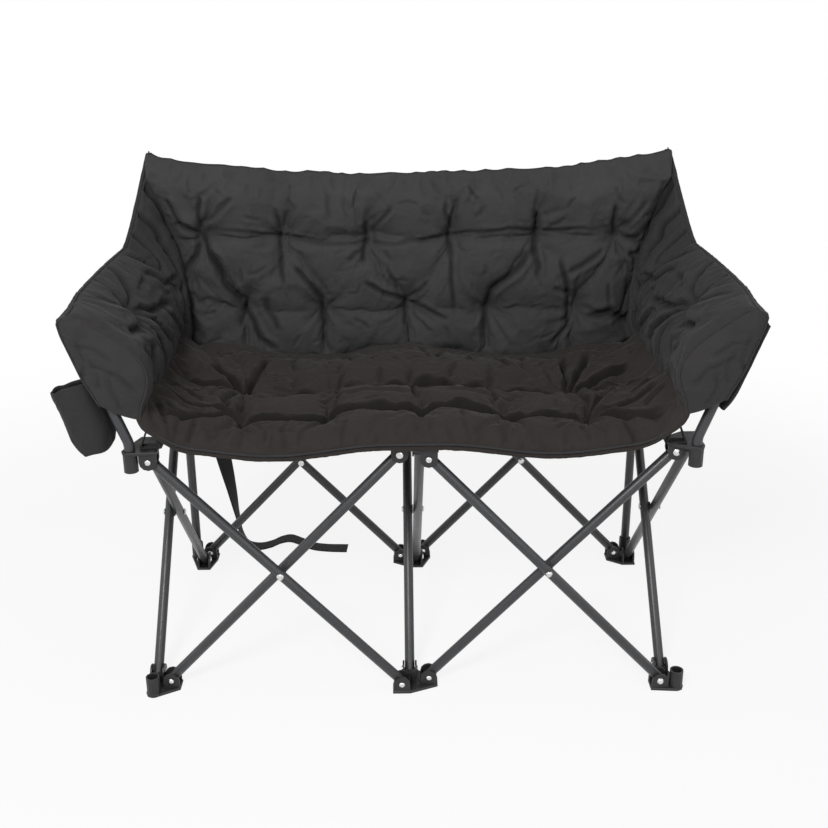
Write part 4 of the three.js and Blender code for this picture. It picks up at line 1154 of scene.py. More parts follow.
def along_table(table, at):
    places, values = zip(*table)
    return np.interp(at, places, values)


# Heights and roundings of the seat's filling, and where its middle seam fades out towards the sides
SEAT_ROLL_RISE = 29
SEAT_SLOPE_RISE = 27
SEAT_SLOPE_START = 300
SEAT_SLOPE_RUN = 150
SEAT_LEAST_RISE = 8
SEAT_ROUND_FRONT = 42
SEAT_ROUND_SEAM = 32
SEAT_ROUND_BACK = 14
SEAT_ROUND_SIDE = 55
SEAM_FADE_START = 322
SEAM_FADE = 70
SEAT_CORNER = 62
SEAT_FULL = 16
SEAT_CALM_START = 436
SEAT_CALM = 90
# Heights of a wing's front facing at its inner and outer edge, and its reach as a share of the wing's depth
FACING_LOW = (582, 609)
FACING_HIGH = (779, 766)
FACING_REACH = 0.2
FACING_INNER_REACH = 0.22
FACING_OUTER_REACH = 0.13
WING_TUCK = 26
WING_TUCK_START = 0.6
WING_TUCK_RUN = 0.3


def seat_rolls(x, y):
    """Height of the seat's filling: two rolls in front and a broad slope that rises to the back"""
    ends = smooth((np.abs(x) - SEAM_FADE_START) / SEAM_FADE)
    base = seat_underside(x, SIDE_ROLL_END, 1.0) + 2 * HEM
    rear = np.maximum(along_table(SEAT_REAR_LINE, x) - base, SEAT_LEAST_RISE)
    slope = mix(SEAT_SLOPE_RISE, rear, smooth((y - SEAT_SLOPE_START) / SEAT_SLOPE_RUN))
    hem = swelling((y - SEAT_FRONT_Y) / SEAT_ROUND_FRONT, power=0.6)
    seam = swelling(np.abs(y - SEAT_SEAM_Y) / SEAT_ROUND_SEAM, power=0.42)
    back = swelling((SEAT_REAR_Y - y) / SEAT_ROUND_BACK, power=0.6)
    side = swelling((SEAT_EDGE - np.abs(x)) / SEAT_ROUND_SIDE, power=0.6)
    level = np.where(y > SEAT_SEAM_Y, slope, SEAT_ROLL_RISE)
    return level * hem * mix(seam, 1.0, ends) * back * side


def seat_place(low, high, tufts):
    """Place of a seat panel's surface: u across, v towards the rear, w from the top (0) down (1)"""
    def place(u, v, w, swell):
        x = mix(-SEAT_EDGE, SEAT_EDGE, u)
        y = mix(low, high, v)
        under = seat_underside(x, y, SIDE_ROLL_UNDER)
        corner = np.exp(-(np.hypot(SEAT_EDGE - np.abs(x), y - SEAT_FRONT_Y) / SEAT_CORNER) ** 2)
        puff = seat_rolls(x, y)
        full = np.minimum(1, puff / SEAT_FULL)
        calm = smooth((SEAT_CALM_START - y) / SEAT_CALM)
        top = under + 2 * HEM + (1 - SIDE_ROLL_UNDER) * seat_side(x, y)
        top = top + swell * puff * filling(x, y, tufts, SEAT_CREASES)
        top = top + pulls(x, y, tufts, reach=56, height=4.0) * full * calm
        top = top + 6 * calm * crumples(x, y, size=60, seed=29) * smooth((np.abs(x) - 250) / 90) * full
        top = top + 7 * corner * crumples(x, y, size=30, seed=3)
        top = top + gathers(x, y - SEAT_FRONT_Y, pitch=34, reach=20, height=1.6, seed=8)
        return np.stack([x, y, mix(top, under, w)], -1)
    return place


def wing_place(outward):
    """Place of a wing's surface: u towards the rear, v upwards, w from the inner face (0) to the outer (1).
    The front is a broad flat facing that reaches out to the arm tube."""
    def place(u, v, w, swell):
        seed = 7 if outward > 0 else 19
        front = 1 - smooth(u / FACING_REACH)
        tuck = WING_TUCK * (1 - smooth((u - WING_TUCK_START) / WING_TUCK_RUN))
        low = mix(wing_bottom(u) - tuck, mix(*FACING_LOW, w), front)
        high = mix(wing_top(u), mix(*FACING_HIGH, w), front)
        y = mix(WING_FRONT_Y, WING_REAR_Y, u)
        z = mix(low, high, v)
        middle, rim, fill = wing_section(u, v)
        belly = np.sin(math.pi * np.clip(v, 0, 1))
        inner = fill * swell * filling(y, z, WING_TUFTS, WING_CREASES)
        inner = inner + (1 - front) * pulls(y, z, WING_TUFTS, reach=70, height=3.4) * belly
        inner = inner + 5 * belly * crumples(y, z, size=62, seed=seed)
        near_front = 1 - smooth(u / FACING_INNER_REACH)
        far_front = 1 - smooth(u / FACING_OUTER_REACH)
        near = mix(middle - rim - inner, along_table(FACING_INNER, z), near_front)
        far = mix(middle + rim + fill * swell, along_table(FACING_OUTER, z), far_front)
        return np.stack([outward * mix(near, far, w), y, z], -1)
    return place


def back_place(u, v, w, swell):
    """Place of the back's surface: u across, v upwards, w from the front (0) to the rear (1)"""
    across = 2 * u - 1
    x = across * back_edge(mix(HUB_TOP + 2 * HEM, BACK_CORNER, v))
    top = BACK_CORNER - BACK_TOP_DIP * np.maximum(1 - across ** 2, 0) ** 0.8
    top = top + 4.2 * cloud(x, 0, size=64, seed=4) * (1 - across ** 8)
    top = top + gathers(x, x * 0, pitch=44, reach=9, height=2.0, seed=31)
    z = mix(seat_underside(x, SEAT_REAR_Y, 1.0) + HEM, top, v)
    puff = crown(u, v, edge_u=0.05, edge_v=0.11)
    front = HEM + BACK_FILL * swell * puff * filling(x, z, BACK_TUFTS, BACK_CREASES, sag=0.3)
    relief = pulls(x, z, BACK_TUFTS, reach=60, height=4.2) + 6 * crumples(x, z, size=74, seed=51)
    front = front + puff * relief
    rear = HEM + BACK_REAR_FILL * swell * puff * np.sqrt(filling(x, z, BACK_TUFTS, ()))
    y = back_middle(across, z) + np.where(w < 0.5, -front, rear) * np.abs(2 * w - 1)
    return np.stack([x, y, z], -1)


# Quilting

BACK_SIZE = (1080, 395)
WING_SIZE = (WING_REAR_Y - WING_FRONT_Y, 290)
SEWN_EDGE = 5
TUFT_SEWN = 8
TOP_FACE = 0.01
UNDER_FACE = 0.99
START_FILL = 0.72
WING_START_FILL = 0.85
WING_BULGE = 0.13
SLOPE_START = 390
SLOPE_HELD = 0.8
FILLING_FRAMES = 20
HELD_LEVELS = 20
# Fold depth in millimetres at which the painted shade in the cloth's colour is darkest
FOLD_OF_DARKEST_SHADE = 6.5
FACING_POINTS = 41
TOP_POINTS = 70


def quilt(name, replaced, body, finish_name, place, size, rim_cuts, bulge, swell, grid):
    """A closed pad whose two faces are grids, joined by a rim that is cut across. Returns the object, and
    (u, v, w) of its vertices."""
    columns = max(12, int(round(size[0] * MM / grid)))
    rows = max(8, int(round(size[1] * MM / grid)))
    bm = bmesh.new()
    bmesh.ops.create_grid(bm, x_segments=columns, y_segments=rows, size=0.5)
    bmesh.ops.translate(bm, verts=bm.verts, vec=(0.5, 0.5, 0))
    copy = bmesh.ops.duplicate(bm, geom=list(bm.verts) + list(bm.edges) + list(bm.faces))["geom"]
    bmesh.ops.translate(bm, verts=only(copy, bmesh.types.BMVert), vec=(0, 0, 1))
    bridge = bmesh.ops.bridge_loops(bm, edges=[e for e in bm.edges if e.is_boundary])
    ribs = [e for e in bridge["edges"] if abs(e.verts[0].co.z - e.verts[1].co.z) > 0.5]
    bmesh.ops.subdivide_edges(bm, edges=ribs, cuts=rim_cuts, use_grid_fill=True)
    params = np.clip(np.array([v.co for v in bm.verts]), 0, 1)
    u, v, w = params.T
    across = place(u, v, np.ones_like(w), swell) - place(u, v, np.zeros_like(w), swell)
    half = np.linalg.norm(across, axis=1, keepdims=True) / 2
    middle = np.full_like(w, 0.5)
    inside = place(np.clip(u, 0.01, 0.99), np.clip(v, 0.02, 0.98), middle, swell)
    outward = place(u, v, middle, swell) - inside
    outward /= np.maximum(np.linalg.norm(outward, axis=1, keepdims=True), 1e-6)
    at = place(u, v, w, swell) + outward * half * bulge * np.sin(math.pi * w)[:, None]
    for vert, point in zip(bm.verts, at):
        vert.co = Vector(point * MM)
    turned_out(bm)
    obj = piece_from(bm, name, body, finish_name)
    spread = w * 0.03
    write_weave(obj.data, np.stack([u * size[0] * MM + spread, v * size[1] * MM + spread], 1))
    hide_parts(*replaced)
    return obj, params


def edge_distance(params, size):
    """Distance in millimetres from the nearest edge of a panel"""
    u, v, _ = params.T
    return np.minimum(np.minimum(u, 1 - u) * size[0], np.minimum(v, 1 - v) * size[1])


def limited(moved, most):
    """Moves that keep their direction and come close to the most they may be"""
    reach = np.maximum(np.linalg.norm(moved, axis=1, keepdims=True), 1e-9)
    return moved / reach * most * np.tanh(reach / most)


def fill_with_air(obj, held, cover, slack, swell, bending=0.12):
    """Swell a closed cloth by pressure from inside while the held shares of its points stay sewn"""
    scene = bpy.context.scene
    start = read_points(obj.data)
    group = obj.vertex_groups.new(name="sewn")
    levels = np.round(np.clip(held, 0, 1) * HELD_LEVELS).astype(int)
    for level in np.unique(levels[levels > 0]):
        group.add(np.nonzero(levels == level)[0].tolist(), level / HELD_LEVELS, "REPLACE")
    cloth = obj.modifiers.new("filling", "CLOTH")
    how = cloth.settings
    how.quality = 6
    how.mass = 0.25
    how.tension_stiffness = 12
    how.compression_stiffness = 12
    how.shear_stiffness = 4
    how.bending_stiffness = bending
    how.tension_damping = 8
    how.compression_damping = 8
    how.use_pressure = True
    how.uniform_pressure_force = cover.pressure
    how.vertex_group_mass = "sewn"
    how.pin_stiffness = 1
    how.shrink_min = -slack
    how.effector_weights.gravity = 0
    cloth.collision_settings.use_collision = False
    cloth.point_cache.frame_start = 1
    cloth.point_cache.frame_end = FILLING_FRAMES
    for number in range(1, FILLING_FRAMES + 1):
        scene.frame_set(number)
    swollen = obj.evaluated_get(bpy.context.evaluated_depsgraph_get())
    moved = read_points(swollen.to_mesh()) - start
    swollen.to_mesh_clear()
    obj.modifiers.remove(cloth)
    obj.vertex_groups.clear()
    scene.frame_set(1)
    write_points(obj.data, start + limited(moved, swell))


def rounded(obj):
    """One subdivision made part of the mesh"""
    add_modifier(obj, "rounding", "SUBSURF", levels=1, render_levels=1, uv_smooth="PRESERVE_BOUNDARIES")
    applied(obj)


def creased(obj, seed, coarse=1.5, fine=0.7):
    """Small sharp creases along the normals of a pad, placed by its UV map"""
    mesh = obj.data
    flat = np.zeros(len(mesh.loops) * 2)
    mesh.uv_layers["weave"].data.foreach_get("uv", flat)
    places = np.zeros((len(mesh.vertices), 2))
    places[corner_vertices(mesh)] = flat.reshape(-1, 2) / MM
    x, y = places.T
    share = 0.5 + 0.5 * cloud(x, y, size=90, seed=seed + 2)
    height = coarse * share * crumples(x, y, size=34, seed=seed, level=0.35)
    height = height + fine * crumples(x, y, size=15, seed=seed + 3, level=0.35)
    write_points(mesh, read_points(mesh) + read_points(mesh, "normal") * height[:, None] * MM)


def pressed(obj, folds, outward, behind=0.0):
    """Press sharp folds into the side of a pad that faces outward, and note their depth as painted shade for
    its colour, also on the cloth behind them, where the cloth in front would shade it"""
    mesh = obj.data
    outward = np.array(outward, float)
    facing = smooth((read_points(mesh, "normal") @ outward - 0.1) / 0.4)
    points = read_points(mesh)
    across, up = [points[:, i] / MM for i in range(3) if not outward[i]]
    depth = fold_depth(across, up, folds) * facing
    write_points(mesh, points - outward * depth[:, None] * MM)
    # Painted shade: the fold depth is stored in the fold attribute, which darkens the cloth's colour
    painted_shade = mesh.attributes.get("fold") or mesh.attributes.new("fold", "FLOAT", "POINT")
    before = np.zeros(len(mesh.vertices), dtype=np.float32)
    painted_shade.data.foreach_get("value", before)
    # Painted shade also on the cloth just behind each fold, which the fold's near side would shade
    if behind:
        depth = np.maximum(depth, 0.8 * fold_depth(across, up - behind, folds) * facing)
    painted_shade.data.foreach_set("value", np.maximum(before, np.clip(depth / FOLD_OF_DARKEST_SHADE, 0, 1)).astype(np.float32))
    mesh.update()


def sewn(x, z, tufts, creases):
    """Share by which points are held: wholly at the tufts and less along the creases"""
    at_tufts = np.zeros_like(x)
    for tuft in tufts:
        at_tufts = np.maximum(at_tufts, np.exp(-(np.hypot(x - tuft[0], z - tuft[1]) / TUFT_SEWN) ** 2))
    held = np.zeros_like(x)
    for a, b, width, depth in creases:
        held = np.maximum(held, depth * np.exp(-(to_segment(x, z, a, b)[0] / (0.45 * width)) ** 2))
    return np.where(at_tufts > 0.45, 1.0, held * 0.3)


def cord_along(points, name, body, finish_name, radius):
    """A thin round cord along points in metres"""
    obj = piece_from(round_along(points, radius, 8), name, body, finish_name)
    flat_weave(obj.data, up=2)
    return obj


def folded(obj, what):
    """Gives a soft piece its own copy of its mesh, the same for every kind of piece"""
    if what == "wing":
        side = -1 if read_points(obj.data)[:, 0].mean() < 0 else 1
        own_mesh(obj)
    elif what == "back":
        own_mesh(obj)
    else:
        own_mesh(obj)


class CHAIR_OT_seat(bpy.types.Operator):
    """Fill and tuft the two halves of the seat"""
    bl_idname = "chair.seat"
    bl_label = "Seat"

    def execute(self, context):
        cover = context.scene.chair_cover
        halves = (
            ("seat_front", SEAT_FRONT_Y, SEAT_SEAM_Y - FIT / 2, SEAT_FRONT_TUFTS + SEAT_SEAM_TUFTS),
            ("seat_rear", SEAT_SEAM_Y + FIT / 2, SEAT_REAR_Y, SEAT_SEAM_TUFTS),
        )
        start = START_FILL
        for name, low, high, tufts in halves:
            size = (2 * SEAT_EDGE, high - low)
            place = seat_place(low, high, tufts)
            obj, at = quilt(name + "_quilt", [name], name, "seat cloth", place, size, rim_cuts=2, bulge=0.6,
                            swell=start, grid=cover.grid)
            y = mix(low, high, at[:, 1])
            held = sewn(mix(-SEAT_EDGE, SEAT_EDGE, at[:, 0]), y, tufts, SEAT_CREASES)
            held = np.maximum(held, SLOPE_HELD * smooth((y - SLOPE_START) / 50))
            held = np.where((at[:, 2] > TOP_FACE) | (edge_distance(at, size) < SEWN_EDGE), 1.0, held)
            fill_with_air(obj, held, cover, cover.slack, cover.swell)
            rounded(obj)
            creased(obj, seed=70)
            front, rear = low + 14, min(high - 10, 410)
            small = short_folds(34, (-460, front), (-250, rear), tufts, seed=5)
            small += short_folds(34, (250, front), (460, rear), tufts, seed=6)
            small += short_folds(26, (-250, front), (250, rear), tufts, seed=7)
            seams = [((a, b), 4.0, 6.5 * share) for a, b, _, share in SEAT_CREASES]
            # The seat's folds also paint shade 8 mm behind them, on the cloth that they would shade
            pressed(obj, SEAT_FOLDS + seams + small, (0, 0, 1), behind=8.0)
            folded(obj, "seat")
        return {"FINISHED"}


class CHAIR_OT_back(bpy.types.Operator):
    """Fill and tuft the back"""
    bl_idname = "chair.back"
    bl_label = "Back"

    def execute(self, context):
        cover = context.scene.chair_cover
        start = START_FILL
        obj, at = quilt("back_quilt", ["back_pad"], body_of("back_pad"), "back cloth", back_place, BACK_SIZE,
                        rim_cuts=2, bulge=0.8, swell=start, grid=cover.grid)
        points = read_points(obj.data) / MM
        depth = at[:, 2]
        held = sewn(points[:, 0], points[:, 2], BACK_TUFTS, BACK_CREASES)
        rim = (depth > TOP_FACE) & (depth < UNDER_FACE)
        held = np.where((edge_distance(at, BACK_SIZE) < SEWN_EDGE) | rim, 1.0, held)
        held = np.where(depth > UNDER_FACE, np.maximum(held, 0.12), held)
        fill_with_air(obj, held, cover, cover.slack, cover.swell)
        rounded(obj)
        creased(obj, seed=90)
        small = short_folds(110, (-450, 550), (450, 900), BACK_TUFTS, seed=11)
        pressed(obj, BACK_FOLDS + small, (0, -1, 0))
        folded(obj, "back")
        return {"FINISHED"}


class CHAIR_OT_wings(bpy.types.Operator):
    """Fill the wings, whose front facings take in the arm tubes, and pipe their seams"""
    bl_idname = "chair.wings"
    bl_label = "Wings"

    def execute(self, context):
        cover = context.scene.chair_cover
        start = WING_START_FILL
        for side, outward in (("left", -1), ("right", 1)):
            name = side + "_wing"
            place = wing_place(outward)
            obj, at = quilt(name + "_quilt", [name], body_of(name), "wing cloth", place, WING_SIZE,
                            rim_cuts=9, bulge=WING_BULGE, swell=start, grid=cover.grid)
            u, v, depth = at.T
            y = mix(WING_FRONT_Y, WING_REAR_Y, u)
            z = mix(wing_bottom(u), wing_top(u), v)
            rim = (depth > TOP_FACE) & (depth < UNDER_FACE)
            held = sewn(y, z, WING_TUFTS, WING_CREASES) * (depth < 0.5)
            held = np.where((edge_distance(at, WING_SIZE) < SEWN_EDGE) & ~rim, 1.0, held)
            held = np.where(rim & (v < 0.01), 1.0, held)
            held = np.where(depth > UNDER_FACE, np.maximum(held, 0.25), held)
            fill_with_air(obj, held, cover, slack=0.035, swell=0.012, bending=0.6)
            rounded(obj)
            creased(obj, seed=110 if outward > 0 else 130, coarse=1.0, fine=0.3)
            small = short_folds(46, (0, 600), (500, 800), WING_TUFTS, seed=13 + outward)
            pressed(obj, WING_FOLDS + small, (-outward, 0, 0))
            facing = [([(outward * x, z) for x, z in line], width, depth)
                      for line, width, depth in FACING_FOLDS]
            pressed(obj, facing, (0, -1, 0))
            folded(obj, "wing")
            self.add_piping(side, place, body_of(name), cover, start)
        return {"FINISHED"}

    def add_piping(self, side, place, body, cover, swell):
        """Piped seams round the front facing and along the top"""
        v = np.linspace(0.0, 1.0, FACING_POINTS)
        zero = np.zeros_like(v)
        inner = place(zero, v, zero, swell)
        outer = place(zero, v, zero + 1, swell)
        line = smoothed_line(np.concatenate([inner, outer[::-1]]) * MM, 2)
        cord = cord_along(line, side + "_facing_piping", body, "wing cloth", cover.piping)
        folded(cord, "wing")
        u = np.linspace(0.0, 1.0, TOP_POINTS)
        one = np.ones_like(u)
        middle = place(u, one, one * 0.5, swell)
        half = np.linalg.norm(place(u, one, one, swell) - place(u, one, one * 0, swell), axis=1) / 2
        middle[:, 2] += half * WING_BULGE
        cord = cord_along(middle * MM, side + "_top_piping", body, "wing cloth", cover.piping * 0.8)
        folded(cord, "wing")


def smoothed_line(points, rounds):
    """The points, each drawn towards its neighbours a number of times"""
    for _ in range(rounds):
        points[1:-1] = (points[:-2] + 2 * points[1:-1] + points[2:]) / 4
    return points


# Bindings, loops and tacks

BINDING_RADIUS = 0.0022
BINDING_RISE = 12.5
SEAM_POINTS = 120
TACK_RADIUS = 0.001
TACK_HALF = 0.0032
TACK_LIFT = 0.0002

# Each row of tacks: the cover's part, its quilt, the node it rides on, the way it faces and its tufts
TACK_ROWS = (
    ("back", "back_quilt", "back_pad", (0, -1, 0), BACK_TUFTS),
    ("seat", "seat_front_quilt", "seat_front", (0, 0, 1), SEAT_FRONT_TUFTS),
    ("wing", "left_wing_quilt", "left_wing", (1, 0, 0), WING_TUFTS),
    ("wing", "right_wing_quilt", "right_wing", (-1, 0, 0), WING_TUFTS),
)


class CHAIR_OT_trims(bpy.types.Operator):
    """Sew the binding of the seat's front edge, the back's top seam and the tacks of the tufts"""
    bl_idname = "chair.trims"
    bl_label = "Bindings and tacks"

    def execute(self, context):
        cover = context.scene.chair_cover
        x = np.linspace(-SEAT_EDGE + 3, SEAT_EDGE - 3, SEAM_POINTS)
        y = np.full_like(x, SEAT_FRONT_Y - 2.0)
        z = seat_underside(x, y, SIDE_ROLL_UNDER) + BINDING_RISE
        line = np.stack([x, y, z], 1) * MM
        obj = cord_along(line, "seat_front_binding", "seat_front", "binding tape", BINDING_RADIUS)
        folded(obj, "seat")
        u = np.linspace(0.004, 0.996, SEAM_POINTS)
        one = np.ones_like(u)
        top = back_place(u, one, one * 0.5, 1.0)
        top[:, 2] += HEM * 0.75
        obj = cord_along(top * MM, "back_top_seam", body_of("back_pad"), "binding tape", cover.piping * 0.8)
        folded(obj, "back")
        self.add_loops()
        for row in TACK_ROWS:
            self.add_tacks(*row)
        return {"FINISHED"}

    def add_loops(self):
        """Webbing loops that tie the seat's front corners to the hubs"""
        for side in ("left", "right"):
            name = side + "_corner_loop"
            bm = merged_copy(name)
            bmesh.ops.bevel(bm, geom=list(bm.edges), offset=0.0004, segments=2, affect="EDGES", profile=0.5)
            obj = piece_from(bm, name + "_webbing", body_of(name), "strap webbing")
            flat_weave(obj.data, up=1)
            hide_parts(name)

    def add_tacks(self, what, quilt_name, node_name, normal, tufts):
        """Short bar stitches that hold the tufts down"""
        points = read_points(bpy.data.objects[quilt_name].data)
        across, up = [points[:, i] for i in range(3) if not normal[i]]
        away = points @ np.array(normal, float)
        side = Vector((normal[2], 0, 0)) if normal[2] else Vector((0, 0, 1))
        bm = bmesh.new()
        for a, b in tufts:
            near = np.hypot(across - a * MM, up - b * MM) < 0.004
            if not near.any():
                continue
            best = np.nonzero(near)[0][np.argmax(away[near])]
            made = bmesh.ops.create_uvsphere(bm, u_segments=12, v_segments=8, radius=TACK_RADIUS)["verts"]
            for vert in made:
                vert.co += side * (TACK_HALF if vert.co.dot(side) > 0 else -TACK_HALF)
            bmesh.ops.translate(bm, verts=made, vec=Vector(points[best]) + Vector(normal) * TACK_LIFT)
        obj = piece_from(bm, quilt_name.removesuffix("_quilt") + "_tacks", body_of(node_name), "binding tape")
        flat_weave(obj.data, up=2)
        folded(obj, what)


# Bags

BAG_STEPS = 26
BAG_SIDES = 64
BAG_CLOTH = 0.0014
BAG_SQUARENESS = 0.62
BAG_FOOT_WIDTH = 0.62
BAG_FOOT_LENGTH = 0.78
BAG_MOUTH_START = 0.4
BAG_LIP_START = 0.8


def eased(up, full):
    """From 0 at the bottom of a bag up to 1 at the share of its height where it is full"""
    return math.sin(min(1.0, up / full) * math.pi / 2)


def bag_params(bm, steps, sides):
    """The round bottom and upright side of a bag: a layer with (angle, share of height, share of radius)"""
    params = bm.verts.layers.float_vector.new("param")
    base = bmesh.ops.create_circle(bm, cap_ends=True, segments=sides, radius=1)["verts"]
    face = base[0].link_faces[0]
    for thickness, share in ((0, 1), (0.45, 0.55), (0.3, 0.2)):
        if thickness:
            bmesh.ops.inset_region(bm, faces=[face], thickness=thickness, use_even_offset=True)
        for vert in face.verts:
            vert[params] = (math.atan2(vert.co.y, vert.co.x), 0, share)
    edges = [e for e in bm.edges if e.is_boundary]
    for i in range(1, steps + 1):
        ring, edges = next_ring(bm, edges)
        for vert in ring:
            vert[params] = (vert[params][0], i / steps, 1)
    return params


def bag(name, node_name, outward, size, top, front, sag, tilt=ARM_LEAN, mouth=0.0):
    """A slack open bag that hangs outside the sleeve of an arm tube and leans a little with it. Its mouth is
    drawn shut by a share, towards the front."""
    width, length, height = size
    tube = Vector((outward * math.sin(ARM_LEAN), 0, math.cos(ARM_LEAN)))
    lean = Vector((outward * math.sin(tilt), 0, math.cos(tilt)))
    outwards = Vector((outward * math.cos(tilt), 0, -math.sin(tilt)))
    reach = (SLEEVE_R + FIT) / math.cos(ARM_LEAN - tilt) + width / 2
    origin = Vector((outward * SOCKET_X, ARM_Y, ARM_BEND)) + tube * ((top - ARM_BEND) / tube.z)
    origin += outwards * reach - lean * height + Vector((0, length / 2 - front, 0))
    bm = bmesh.new()
    params = bag_params(bm, BAG_STEPS, BAG_SIDES)
    uv = []
    for vert in bm.verts:
        angle, up, share = vert[params]
        c, s = math.cos(angle), math.sin(angle)
        belly = 1 + sag * math.sin(math.pi * min(1.0, up * 1.15)) * 0.06
        square_x = math.copysign(abs(c) ** BAG_SQUARENESS, c)
        square_y = math.copysign(abs(s) ** BAG_SQUARENESS, s)
        x = square_x * (width / 2 - 1) * mix(BAG_FOOT_WIDTH, 1, eased(up, full=0.34)) * belly * share
        y = square_y * (length / 2 - 1) * mix(BAG_FOOT_LENGTH, 1, eased(up, full=0.3)) * share
        shut = 1 - mouth * smooth((up - BAG_MOUTH_START) / (1 - BAG_MOUTH_START))
        y = y * shut - (1 - shut) * length / 2
        ripple = noise.noise(Vector((2.2 * c, 2.2 * s, up * 4.0))) * 2.4 * sag * share
        ripple += noise.noise(Vector((5 * c, 5 * s, up * 11 + 3))) * 0.9 * share
        if c < 0:
            ripple *= 0.15
        z = up * height + 2.0 * (1 - share) - 4.0 * sag * share * (1 - up) * abs(c)
        if up > BAG_LIP_START:
            wave = 5.0 * noise.noise(Vector((1.4 * c, 1.4 * s, 7.0)))
            z += (up - BAG_LIP_START) / (1 - BAG_LIP_START) * (wave - 4.0 * sag * max(0, c))
        point = origin + outwards * (x + ripple * c) + Vector((0, y + ripple * s, 0)) + lean * max(z, 1.0)
        vert.co = point * MM
        uv.append((angle * (width + length) / 4 * MM, up * height * MM + share * 0.02))
    turned_out(bm)
    obj = piece_from(bm, name, body_of(node_name), "bag cloth")
    write_weave(obj.data, uv)
    add_modifier(obj, "cloth", "SOLIDIFY", thickness=BAG_CLOTH, offset=-1)
    applied(obj)
    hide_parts(node_name)


class CHAIR_OT_bags(bpy.types.Operator):
    """Hang the pouch outside the left arm and the pocket outside the right arm"""
    bl_idname = "chair.bags"
    bl_label = "Pouch and pocket"

    def execute(self, context):
        bag("left_pouch_cloth", "left_pouch", -1, (70, 116, 138), top=HUB_TOP + 138, front=22, sag=1.0,
            tilt=math.radians(14), mouth=0.6)
        bag("right_pocket_cloth", "right_pocket", 1, (15, 200, 178), top=HUB_TOP + 234, front=16, sag=0.3)
        return {"FINISHED"}


# Stage

PHOTO_PIXELS = 828
FOCAL_PIXELS = 1150.214
SHIFT_PIXELS = -24.107
SENSOR_WIDTH = 36
CAMERA_PLACE = (-0.0253624, -1.8936841, 1.3433582)
CAMERA_PITCH = 0.36504
CAMERA_YAW = -0.01359
CAMERA_ROLL = -0.0052
FLOOR_HALF = 14
SHADOW_NEAR = 1.1
SHADOW_FAR = 2.4

# Each lamp: its name, its power setting and a factor on it, its size, its place and what it is aimed at
LAMPS = (
    ("key_lamp", "key", 1, 0.9, (-1.0, -2.5, 2.85), (0, 0.2, 0.55)),
    ("front_right_lamp", "fill", 2, 1.6, (1.6, -2.9, 1.5), (0, 0.2, 0.55)),
    ("left_lamp", "fill", 1, 1.8, (-2.8, -0.6, 1.5), (0, 0.2, 0.5)),
    ("right_lamp", "fill", 1, 1.8, (2.8, -0.9, 1.7), (0, 0.2, 0.5)),
    ("overhead_lamp", "top", 1, 1.6, (-0.2, 0.0, 3.3), (0, 0.2, 0.55)),
    ("rear_lamp", "top", 1, 1.8, (0.4, 2.9, 2.3), (0, 0.3, 0.6)),
)


def seen_directly(tree):
    """1 for rays from the camera, straight, mirrored or through glass, and 0 for those that light things"""
    path = node(tree, "ShaderNodeLightPath").outputs
    bent = maths(tree, "ADD", path["Is Glossy Ray"], path["Is Transmission Ray"])
    return maths(tree, "ADD", path["Is Camera Ray"], bent, clamp=True)


